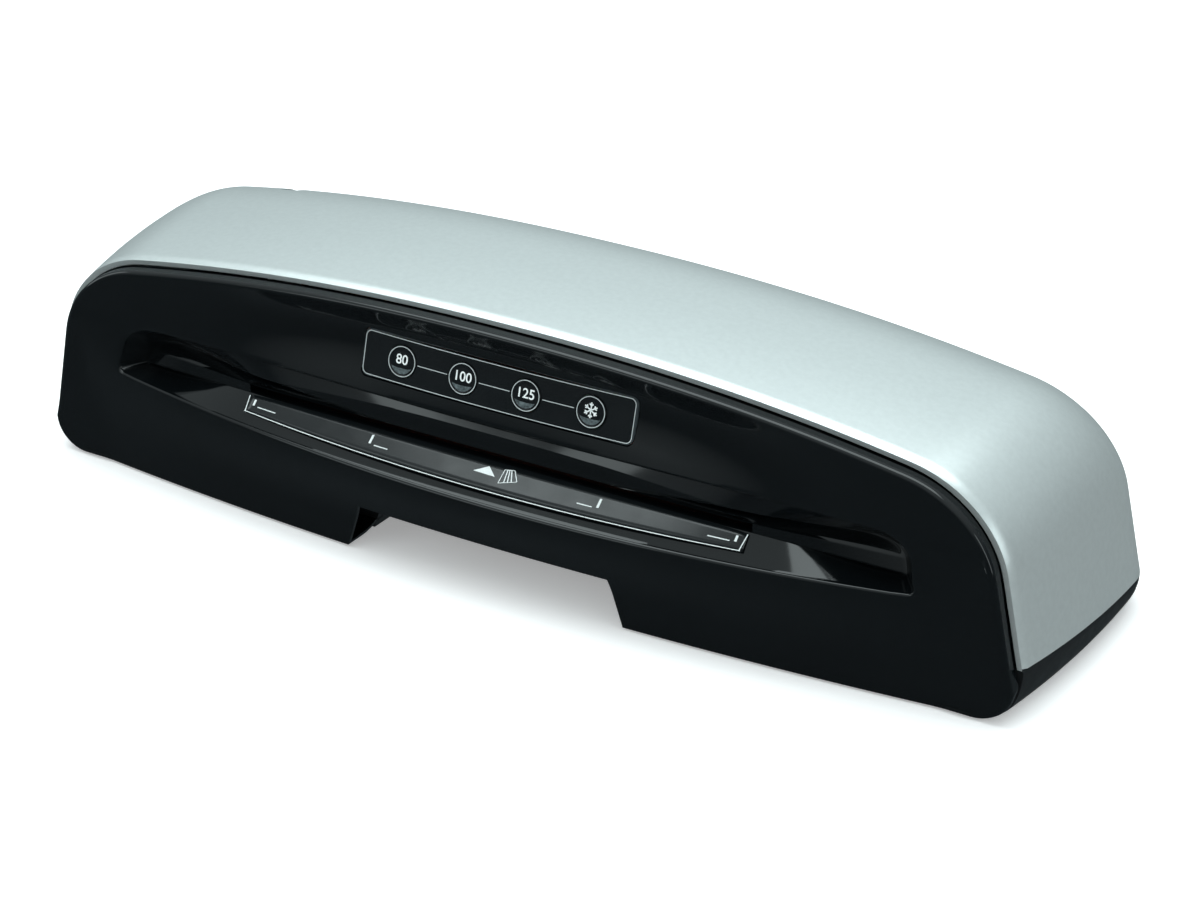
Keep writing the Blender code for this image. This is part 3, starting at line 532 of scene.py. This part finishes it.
# ---- base --------------------------------------------------------------------------
def base_ring(drop, inset, low):
    ys = [BASE_FRONT + (REAR_Y - REAR_CORNER - BASE_FRONT) * i / 24 for i in range(25)]
    half = [(half_width(y) - inset, y + (inset if i == 0 and low > BASE_BOTTOM else 0.0))
            for i, y in enumerate(ys)]
    corner_y = REAR_Y - REAR_CORNER
    radius = REAR_CORNER - inset
    for i in range(1, 16):
        turn = math.radians(6 * i)
        half.append((half_width(corner_y) - REAR_CORNER + radius * math.cos(turn),
                     corner_y + radius * math.sin(turn)))
    levels = [parting_height(y) - 0.35 for _, y in half]
    half = [(x, y, low + (z - low) * (1 - drop)) for (x, y), z in zip(half, levels)]
    return half + [(-x, y, z) for x, y, z in reversed(half)]


def make_base():
    """A tray with a rolled top edge, hollow inside, with the finger hollow under its front."""
    rings = []
    floor_z = BASE_BOTTOM + BASE_WALL
    for turn in (90, 60, 30, 0):
        angle = math.radians(turn)
        rings.append(base_ring(math.sin(angle), ROLLED_EDGE * (1 - math.cos(angle)) + BASE_WALL, floor_z))
    rings.append(base_ring(0.0, 1.0, BASE_BOTTOM))
    rings.append(base_ring(0.012, 0.35, BASE_BOTTOM))
    for turn in range(3, 91, 6):
        angle = math.radians(turn + (turn - 3) * 3 / 87)
        rings.append(base_ring(math.sin(angle), ROLLED_EDGE * (1 - math.cos(angle)), BASE_BOTTOM))
    base = loft("base_skin", rings, smooth=40)
    cut(base, notch_block("notch_shell", BASE_WALL, BASE_FRONT, 2 * BASE_BOTTOM), "UNION")
    cut(base, notch_block("notch_tool", 0.0))
    base.data.shade_smooth()
    base.data.set_sharp_from_angle(angle=math.radians(40))
    return base


# ---- control panel and buttons -----------------------------------------------------
INWARD = Vector((0.0, math.cos(PANEL_TILT), -math.sin(PANEL_TILT)))
UPWARD = Vector((0.0, math.sin(PANEL_TILT), math.cos(PANEL_TILT)))


def panel_y(x, z):
    return PANEL_MID_Y + (z - PANEL_MID_Z) * math.tan(PANEL_TILT) + PANEL_BOW * x * x


def on_panel(x, up, lift=0.0):
    """A point on the panel, up mm above its middle line and lift mm in front of it."""
    z = PANEL_MIDDLE + up * math.cos(PANEL_TILT)
    point = Vector((x, panel_y(x, z), z)) - INWARD * lift
    return tuple(point)


def make_panel():
    """Bowed plate with rounded corners, a bevelled rim and holes for the buttons."""
    half = PANEL_HIGH.x
    tall = (PANEL_HIGH.z - PANEL_LOW.z) / 2
    rings = []
    columns = 48
    rows = 10
    for depth, inset in ((2.4, 0.0), (0.35, 0.0), (0.1, 0.1), (0.0, PANEL_BEVEL)):
        outline = panel_outline(half - inset, tall - inset, PANEL_RADIUS - inset)
        rings.append([(x, panel_y(x, PANEL_MIDDLE + z) + depth, PANEL_MIDDLE + z) for x, z in outline])
    panel = loft("panel_rim", rings, capped=False, smooth=50)
    sheet = []
    for r in range(rows + 1):
        row = []
        for c in range(columns + 1):
            x = -half + PANEL_BEVEL + 2 * (half - PANEL_BEVEL) * c / columns
            z = -tall + PANEL_BEVEL + 2 * (tall - PANEL_BEVEL) * r / rows
            over = max(0.0, abs(x) - (half - PANEL_RADIUS))
            corner = PANEL_RADIUS - PANEL_BEVEL
            limit = tall - PANEL_RADIUS + math.sqrt(max(0.0, corner ** 2 - over ** 2))
            z = max(-limit, min(limit, z))
            row.append((x, panel_y(x, PANEL_MIDDLE + z), PANEL_MIDDLE + z))
        sheet.append(row)
    face = loft("panel_plate", sheet, capped=False, loop=False, smooth=50)
    wall = face.modifiers.new("wall", "SOLIDIFY")
    wall.thickness = PANEL_WALL * MM
    wall.offset = -1.0
    apply_modifiers(face)
    for name in BUTTONS:
        hole = ((BUTTON_HOLE, -6.0), (BUTTON_HOLE, 6.0))
        cut(face, lathe("hole_tool", hole, button_centre(name), INWARD))
    face.data.shade_smooth()
    face.data.set_sharp_from_angle(angle=math.radians(40))
    return face, panel


def button_centre(name):
    low, high = box_mm(name)
    x = (low.x + high.x) / 2
    return on_panel(x, 0.0)


def button_ring(name):
    """Printed ring round a button's edge."""
    centre = Vector(button_centre(name)) - INWARD * RING_LIFT
    ring = []
    for i in range(56):
        turn = 2 * math.pi * i / 56
        spoke = ACROSS * math.cos(turn) + UPWARD * math.sin(turn)
        ring.append(tuple(centre + spoke * RING_RADIUS))
    return ribbon(name + "_ring", ring, LINE_WIDTH, -INWARD, closed=True)


def make_button(name):
    """Low dome with a rolled rim."""
    profile = [(0.05, 3.2), (6.1, 3.2), (6.3, 3.0), (6.3, -0.1), (6.2, -0.3), (6.0, -0.42), (5.7, -0.42),
               (5.5, -0.3), (5.3, -0.22), (4.0, -0.34), (2.4, -0.42), (0.05, -0.45)]
    return lathe(name + "_cap", profile, button_centre(name), INWARD)


def ribbon(name, path, width, lift_axis, closed=False, thick=PRINT_LIFT):
    """A flat line of a width along points, standing thick mm proud: print, and the painted highlight round
    the panel.
    """
    count = len(path)
    left, right = [], []
    for i in range(count):
        before = path[(i - 1) % count] if closed or i else path[0]
        after = path[(i + 1) % count] if closed or i < count - 1 else path[-1]
        along = (Vector(after) - Vector(before)).normalized()
        across = along.cross(lift_axis).normalized() * width / 2
        left.append(Vector(path[i]) + across)
        right.append(Vector(path[i]) - across)
    rise = lift_axis * thick
    rings = [[tuple(p), tuple(p + rise), tuple(q + rise), tuple(q)] for p, q in zip(left, right)]
    if closed:
        return loft(name, rings + [rings[0]], capped=False, smooth=30)
    return loft(name, rings, smooth=30)


def text_mesh(name, words, size, place, right, up, lift):
    """Words as a thin mesh, centred on place."""
    curve = bpy.data.curves.new(name + "_font", "FONT")
    curve.body = words
    curve.size = size * MM
    curve.align_x = "CENTER"
    curve.align_y = "CENTER"
    curve.offset = 0.010 * size * MM
    curve.extrude = 0.04 * MM
    maker = bpy.data.objects.new(name + "_font", curve)
    bpy.context.collection.objects.link(maker)
    graph = bpy.context.evaluated_depsgraph_get()
    mesh = bpy.data.meshes.new_from_object(maker.evaluated_get(graph))
    bpy.data.objects.remove(maker, do_unlink=True)
    normal = right.cross(up)
    for vertex in mesh.vertices:
        x, y, z = vertex.co
        vertex.co = Vector(place) * MM + right * x + up * y + normal * (z + lift * MM)
    item = bpy.data.objects.new(name, mesh)
    bpy.context.collection.objects.link(item)
    return item


def crescent(name, place):
    """Paler crescent at the foot of a button: a painted highlight of the button's dome."""
    outer, inner = [], []
    for i in range(17):
        turn = math.radians(205 + 130 * i / 16)
        x, up = CRESCENT_HIGHLIGHT_RADIUS * math.cos(turn), CRESCENT_HIGHLIGHT_RADIUS * math.sin(turn)
        outer.append((x, up))
        inner.append((x, up + 2.3 * math.sin(math.pi * i / 16)))
    rings = []
    for a, b in zip(outer, inner):
        row = []
        for (x, up), lift in ((a, 0.28), (a, 0.48), (b, 0.5), (b, 0.28)):
            row.append(tuple(Vector(place) + ACROSS * x + UPWARD * up - INWARD * lift))
        rings.append(row)
    return loft(name, rings)


def snowflake(name, place, reach=3.0):
    """Six-armed frost sign for the cold setting."""
    parts = []
    for arm in range(6):
        turn = math.radians(60 * arm + 30)
        direction = ACROSS * math.cos(turn) + UPWARD * math.sin(turn)
        side = UPWARD * math.cos(turn) - ACROSS * math.sin(turn)
        base = Vector(place) - INWARD * 0.46
        parts.append([base, base + direction * reach])
        for sign in (-1, 1):
            knee = base + direction * reach * 0.55
            parts.append([knee, knee + (direction + side * sign) * reach * 0.26])
    made = []
    for i, line in enumerate(parts):
        made.append(ribbon(name + "_%d" % i, [tuple(p) for p in line], 0.5, -INWARD))
    return join(name, made)


def join(name, items):
    """One object from several."""
    work = bmesh.new()
    for item in items:
        work.from_mesh(item.data)
        bpy.data.objects.remove(item, do_unlink=True)
    mesh = bpy.data.meshes.new(name)
    work.to_mesh(mesh)
    work.free()
    result = bpy.data.objects.new(name, mesh)
    bpy.context.collection.objects.link(result)
    return result


def make_bevel_highlight_and_links():
    """Pale line round the panel, a painted highlight of its bevel, and the printed lines that join the
    buttons.
    """
    items = []
    centres = [button_centre(name)[0] for name in BUTTONS]
    half, tall = PANEL_HIGH.x - 0.75, (PANEL_HIGH.z - PANEL_LOW.z) / 2 - 0.75
    corners = panel_outline(half, tall, 2.3)
    edge = []
    for a, b in zip(corners, corners[1:] + corners[:1]):
        steps = 24 if abs(a[0] - b[0]) > half else 1
        edge += [on_panel(x, z / math.cos(PANEL_TILT), PRINT_LIFT) for x, z in spread(a, b, steps)[:-1]]
    # pale line round the panel: a painted highlight of the rim's bevel
    items.append(ribbon("painted_bevel_highlight", edge, LINE_WIDTH, -INWARD, closed=True))
    for a, b in zip(centres, centres[1:]):
        line = [on_panel(x, 0.0, PRINT_LIFT) for x, _ in spread((a + 7.1, 0), (b - 7.1, 0), 8)]
        items.append(ribbon("link", line, LINE_WIDTH, -INWARD))
    return join("panel_print_and_highlight", items)


# ---- label strip in the entry ------------------------------------------------------
def floor_point(x, share, lift):
    """A point on the label strip: share 0 at the rear edge, 1 at the front edge."""
    lip_y = lower_y(x, mouth_bottom(x))
    y = LABEL_REAR_Y + (lip_y + LABEL_FRONT_BACK - LABEL_REAR_Y) * share
    nose_y = lip_y + NOSE_BACK
    nose_z = mouth_bottom(x) + NOSE_RISE
    z = nose_z + (foot_z(x) - nose_z) * (y - nose_y) / (wall_y(x) - nose_y)
    return (x, y, z + lift)


def make_label():
    half = SLIT_HALF - 0.7
    rows = []
    for share in (0.0, 0.25, 0.5, 0.75, 1.0):
        rows.append([floor_point(x, share, LABEL_RISE) for x, _ in spread((-half, 0), (half, 0), 60)])
    strip = loft("label_plate", rows, capped=False, loop=False, smooth=40)
    wall = strip.modifiers.new("wall", "SOLIDIFY")
    wall.thickness = 0.5 * MM
    wall.offset = -1.0
    apply_modifiers(strip)
    return strip


def make_label_print():
    """Outline, paper-width ticks, feed arrow and a pouch sign; no words."""
    up = Vector((0.0, -0.32, 0.947))
    half = SLIT_HALF - 1.4
    lift = LABEL_RISE + PRINT_LIFT
    items = []
    front = [floor_point(x, 0.985, lift) for x, _ in spread((-half, 0), (half, 0), 60)]
    items.append(ribbon("front_line", front, 0.36, up))
    for side in (-1, 1):
        end = [floor_point(side * (half + 0.5 - 1.0 * s), s, lift) for s in (0.05, 0.35, 0.65, 0.985)]
        items.append(ribbon("end_line", end, 0.36, up))
    guides = ((-WIDE_TICK, 11.0), (-PHOTO_TICK, 8.5), (PHOTO_TICK, -8.5), (WIDE_TICK, -11.0))
    for x, _ in guides:
        tick = [floor_point(x, s, lift) for s in (0.26, 0.42, 0.58)]
        items.append(ribbon("tick", tick, 0.95, up))
    for x, reach in guides:
        bar = [floor_point(x + math.copysign(2.2, reach), 0.6, lift), floor_point(x + reach, 0.6, lift)]
        items.append(ribbon("bar", bar, 0.5, up))
    items.append(triangle("arrow", [(-3.8, 0.46), (5.8, 0.48), (1.7, 0.2)], lift, up))
    sign = [(8.2, 0.64), (8.4, 0.18), (12.4, 0.12), (15.3, 0.45)]
    for a, b in zip(sign, sign[1:] + sign[:1]):
        items.append(ribbon("pouch_side", [floor_point(*a, lift), floor_point(*b, lift)], 0.3, up))
    for k in (0.3, 0.5, 0.7):
        a = tuple(p + (q - p) * k for p, q in zip(sign[0], sign[3]))
        b = tuple(p + (q - p) * k for p, q in zip(sign[1], sign[2]))
        items.append(ribbon("pouch_rib", [floor_point(*a, lift), floor_point(*b, lift)], 0.4, up))
    return join("label_print", items)


def triangle(name, corners, lift, up):
    flat = [Vector(floor_point(x, s, lift)) for x, s in corners]
    return loft(name, [[tuple(p) for p in flat], [tuple(p + up * PRINT_LIFT) for p in flat]], smooth=0)


# ---- materials -----------------------------------------------------------------------
def shader_material(name, colour, roughness, metallic=0.0, level=0.5):
    material = bpy.data.materials.new(name)
    material.use_nodes = True
    nodes = material.node_tree.nodes
    shader = nodes["Principled BSDF"]
    shader.inputs["Base Color"].default_value = (*colour, 1.0)
    shader.inputs["Roughness"].default_value = roughness
    shader.inputs["Metallic"].default_value = metallic
    shader.inputs["Specular IOR Level"].default_value = level
    return material, shader


def noise(material, scale, detail=4.0, roughness=0.55, stretch=None):
    """A noise texture in object space, scale in features per metre."""
    tree = material.node_tree
    place = tree.nodes.new("ShaderNodeTexCoord")
    texture = tree.nodes.new("ShaderNodeTexNoise")
    texture.inputs["Scale"].default_value = scale
    texture.inputs["Detail"].default_value = detail
    texture.inputs["Roughness"].default_value = roughness
    source = place.outputs["Object"]
    if stretch:
        mapping = tree.nodes.new("ShaderNodeMapping")
        mapping.inputs["Scale"].default_value = stretch
        tree.links.new(source, mapping.inputs["Vector"])
        source = mapping.outputs["Vector"]
    tree.links.new(source, texture.inputs["Vector"])
    return texture


def ramp(material, factor, low, high, start=0.3, end=0.7):
    """Maps a 0..1 factor to numbers or colours between low and high."""
    tree = material.node_tree
    node = tree.nodes.new("ShaderNodeValToRGB")
    node.color_ramp.elements[0].position = start
    node.color_ramp.elements[1].position = end
    for element, value in zip(node.color_ramp.elements, (low, high)):
        element.color = (*value, 1.0) if isinstance(value, tuple) else (value, value, value, 1.0)
    tree.links.new(factor, node.inputs["Fac"])
    return node.outputs["Color"]


def bump(material, shader, height, strength, distance):
    tree = material.node_tree
    node = tree.nodes.new("ShaderNodeBump")
    node.inputs["Strength"].default_value = strength
    node.inputs["Distance"].default_value = distance
    tree.links.new(height, node.inputs["Height"])
    tree.links.new(node.outputs["Normal"], shader.inputs["Normal"])


def varied(name, colour, roughness, metallic=0.0, level=0.5, scale=60.0, spread_by=0.12, grain=900.0,
           depth=0.00002, strength=0.15, rough_by=0.06, stretch=None):
    """A surface whose colour and roughness drift gently, with a fine grain."""
    material, shader = shader_material(name, colour, roughness, metallic, level)
    tree = material.node_tree
    drift = noise(material, scale, stretch=stretch)
    dark = tuple(c * (1 - spread_by) for c in colour)
    light = tuple(min(1.0, c * (1 + spread_by)) for c in colour)
    tree.links.new(ramp(material, drift.outputs["Fac"], dark, light), shader.inputs["Base Color"])
    gloss = noise(material, scale * 2.3, 6.0, stretch=stretch)
    tree.links.new(ramp(material, gloss.outputs["Fac"], roughness - rough_by, roughness + rough_by),
                   shader.inputs["Roughness"])
    fine = noise(material, grain, 3.0, stretch=stretch)
    bump(material, shader, fine.outputs["Fac"], strength, depth)
    return material


def make_materials():
    looks = {}
    looks["gloss_black"] = varied("gloss_black", (0.0025, 0.0034, 0.0040), 0.09, level=0.42, scale=24.0,
                                  grain=260.0, depth=0.000003, strength=0.05, rough_by=0.015)
    looks["silver"] = varied("silver_lacquer", (0.60, 0.635, 0.63), 0.37, metallic=0.6, scale=420.0,
                             spread_by=0.03, grain=3000.0, depth=0.00003, strength=0.12, rough_by=0.02)
    looks["satin_black"] = varied("satin_black", (0.006, 0.007, 0.008), 0.42, scale=70.0, grain=1500.0,
                                  depth=0.00006, strength=0.3)
    looks["print_black"] = varied("film_black", (0.006, 0.0075, 0.0085), 0.2, level=0.4, scale=40.0,
                                  grain=900.0, depth=0.00001, strength=0.08)
    looks["button_black"] = varied("button_black", (0.005, 0.006, 0.007), 0.14, level=0.45, scale=80.0,
                                   grain=600.0, depth=0.000008, strength=0.06, rough_by=0.03)
    looks["rocker_black"] = varied("rocker_black", (0.01, 0.01, 0.011), 0.2, scale=80.0)
    looks["socket_black"] = varied("socket_black", (0.014, 0.014, 0.015), 0.5, scale=90.0, grain=1800.0,
                                   strength=0.3, depth=0.00005)
    looks["rubber"] = varied("foot_rubber", (0.02, 0.02, 0.02), 0.8, scale=150.0, grain=2500.0, strength=0.4)
    looks["silicone"] = varied("silicone", (0.36, 0.10, 0.055), 0.55, scale=110.0, grain=1700.0,
                               strength=0.25)
    looks["steel"] = varied("bright_steel", (0.55, 0.56, 0.57), 0.3, metallic=1.0, scale=120.0,
                            grain=700.0, stretch=(0.08, 1.0, 1.0))
    looks["aluminium"] = varied("drawn_aluminium", (0.7, 0.71, 0.72), 0.32, metallic=1.0, scale=120.0,
                                grain=900.0, stretch=(0.06, 1.0, 1.0))
    looks["brass"] = varied("turned_brass", (0.72, 0.53, 0.22), 0.28, metallic=1.0, scale=200.0,
                            grain=1500.0)
    looks["acetal"] = varied("acetal", (0.78, 0.77, 0.72), 0.45, scale=160.0, grain=900.0, spread_by=0.05)
    looks["board_green"] = varied("solder_mask", (0.015, 0.12, 0.05), 0.35, scale=300.0, grain=1200.0)
    looks["mica"] = varied("mica_sheet", (0.50, 0.42, 0.30), 0.55, scale=260.0, spread_by=0.25, grain=700.0)
    looks["ink"] = varied("pale_ink", (0.90, 0.93, 0.92), 0.4, scale=400.0, spread_by=0.08, grain=3000.0,
                          depth=0.000004)
    # grey for the button rings and links, which are print, and for the line round the panel, which is a
    # painted highlight
    looks["fine_print_and_bevel_highlight"] = varied("grey_print_and_bevel_highlight", (0.52, 0.56, 0.56), 0.4, scale=400.0, spread_by=0.1, grain=3000.0,
                               depth=0.000004)
    # lighter grey for the panel's bevelled rim: a painted highlight where the bevel meets the light
    looks["edge"] = varied("painted_highlight_rim", (0.045, 0.055, 0.06), 0.2, scale=300.0, spread_by=0.15,
                           grain=1200.0, depth=0.000004)
    # paler grey for the crescents at the buttons' feet: a painted highlight of their domes
    looks["lens"] = varied("painted_crescent_highlight", (0.085, 0.105, 0.11), 0.2, scale=900.0, spread_by=0.6, grain=1500.0)
    looks["floor"] = varied("floor_paint", (0.99, 0.955, 0.95), 0.6, scale=3.0, spread_by=0.01, grain=40.0,
                            level=0.2)
    return looks


# ---- put together ----------------------------------------------------------------------
LOOKS = make_materials()


def dress(item, look, body="chassis"):
    item.data.materials.clear()
    item.data.materials.append(LOOKS[look])
    if body:
        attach(item, body)
    return item


def dress_cad():
    """Every CAD node gets the procedural look of its material slot."""
    slots = {part["node"]: part["material_slot"] for part in frame["record"]["subparts"]}
    for name, item in frame["nodes"].items():
        for place in item.material_slots:
            place.material = LOOKS[slots[name]]


def build_pieces():
    fascia = dress(make_fascia(), "gloss_black")
    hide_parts("front_fascia")
    cover = dress(make_cover(), "silver")
    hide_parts("top_cover")
    base = dress(make_base(), "satin_black")
    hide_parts("base_tray", "grip_recess")
    plate, rim = make_panel()
    dress(plate, "print_black")
    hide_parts("control_panel")
    # the rim's lighter grey is a painted highlight of its bevel
    dress(rim, "edge")
    # print, and a painted highlight: the pale line round the panel stands for light on its bevel
    dress(make_bevel_highlight_and_links(), "fine_print_and_bevel_highlight")
    label = dress(make_label(), "print_black")
    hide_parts("label_strip")
    dress(make_label_print(), "ink")
    for name in BUTTONS:
        cap = dress(make_button(name), "button_black", name)
        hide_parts(name)
        centre = button_centre(name)
        # paler crescent under the button: a painted highlight of its dome
        dress(crescent(name + "_dome_highlight", centre), "lens", name)
        dress(button_ring(name), "fine_print_and_bevel_highlight", name)
        sign = Vector(centre) + UPWARD * 0.7
        if name == "button_cold":
            dress(snowflake(name + "_sign", sign), "ink", name)
        else:
            words = name.split("_")[1]
            dress(text_mesh(name + "_sign", words, 5.4, sign, ACROSS, UPWARD, RING_LIFT), "ink", name)


def plain_floor():
    """The floor paint glows a little, so that it stays pale where the lights are far."""
    shader = LOOKS["floor"].node_tree.nodes["Principled BSDF"]
    shader.inputs["Emission Color"].default_value = (1.0, 1.0, 1.0, 1.0)
    shader.inputs["Emission Strength"].default_value = 0.3
    return LOOKS["floor"]


def make_stage():
    """Pale floor, soft light and the camera."""
    floor = box("floor", (-3000.0, -3000.0, -20.0), (3000.0, 3000.0, 0.0))
    floor.data.materials.append(plain_floor())
    floor.visible_glossy = False
    make_world()
    softbox("overhead", (-0.05, 0.15, 1.3), (0.0, 0.0, 0.05), 1.6, 1.0, 17.0)
    softbox("front_panel", (-0.75, -1.2, 0.85), (0.0, 0.0, 0.06), 0.7, 0.3, 1.5)
    softbox("left_panel", (-1.4, -0.2, 0.5), (0.0, 0.0, 0.06), 0.4, 0.8, 2.0)
    softbox("right_panel", (1.5, -0.2, 0.35), (0.1, 0.0, 0.05), 0.4, 0.8, 2.6)
    make_camera()


def make_world():
    """White to the camera, and a soft gradient from dark below to pale above for everything else."""
    world = bpy.data.worlds.new("studio")
    bpy.context.scene.world = world
    world.use_nodes = True
    tree = world.node_tree
    seen = tree.nodes["Background"]
    seen.inputs["Color"].default_value = (1.0, 1.0, 1.0, 1.0)
    lit = tree.nodes.new("ShaderNodeBackground")
    lit.inputs["Strength"].default_value = 0.8
    place = tree.nodes.new("ShaderNodeTexCoord")
    split = tree.nodes.new("ShaderNodeSeparateXYZ")
    tree.links.new(place.outputs["Generated"], split.inputs[0])
    shade = tree.nodes.new("ShaderNodeValToRGB")
    shade.color_ramp.elements[0].position = 0.0
    shade.color_ramp.elements[0].color = (0.11, 0.135, 0.145, 1.0)
    shade.color_ramp.elements[1].position = 0.75
    shade.color_ramp.elements[1].color = (0.86, 0.98, 1.0, 1.0)
    tree.links.new(split.outputs["Z"], shade.inputs["Fac"])
    tree.links.new(shade.outputs["Color"], lit.inputs["Color"])
    path = tree.nodes.new("ShaderNodeLightPath")
    mix = tree.nodes.new("ShaderNodeMixShader")
    tree.links.new(path.outputs["Is Camera Ray"], mix.inputs["Fac"])
    tree.links.new(lit.outputs[0], mix.inputs[1])
    tree.links.new(seen.outputs[0], mix.inputs[2])
    tree.links.new(mix.outputs[0], tree.nodes["World Output"].inputs["Surface"])


def make_camera():
    view = bpy.data.cameras.new("view")
    view.lens = 86.05
    view.sensor_width = 36.0
    camera = bpy.data.objects.new("view", view)
    azimuth, elevation = math.radians(29.3615), math.radians(29.0554)
    back = Vector((math.sin(azimuth) * math.cos(elevation), -math.cos(azimuth) * math.cos(elevation),
                   math.sin(elevation)))
    camera.location = Vector((0.01861, 0.0, 0.03704)) + back * 1.12667
    camera.rotation_euler = back.to_track_quat("Z", "Y").to_euler()
    bpy.context.collection.objects.link(camera)
    bpy.context.scene.camera = camera
    bpy.context.scene.view_settings.view_transform = "Standard"


def softbox(name, place, target, width, height, power):
    light = bpy.data.lights.new(name, "AREA")
    light.shape = "RECTANGLE"
    light.size = width
    light.size_y = height
    light.energy = power
    light.color = (0.88, 0.99, 1.0)
    item = bpy.data.objects.new(name, light)
    item.location = place
    item.rotation_euler = (Vector(place) - Vector(target)).to_track_quat("Z", "Y").to_euler()
    bpy.context.collection.objects.link(item)


dress_cad()
build_pieces()
make_stage()
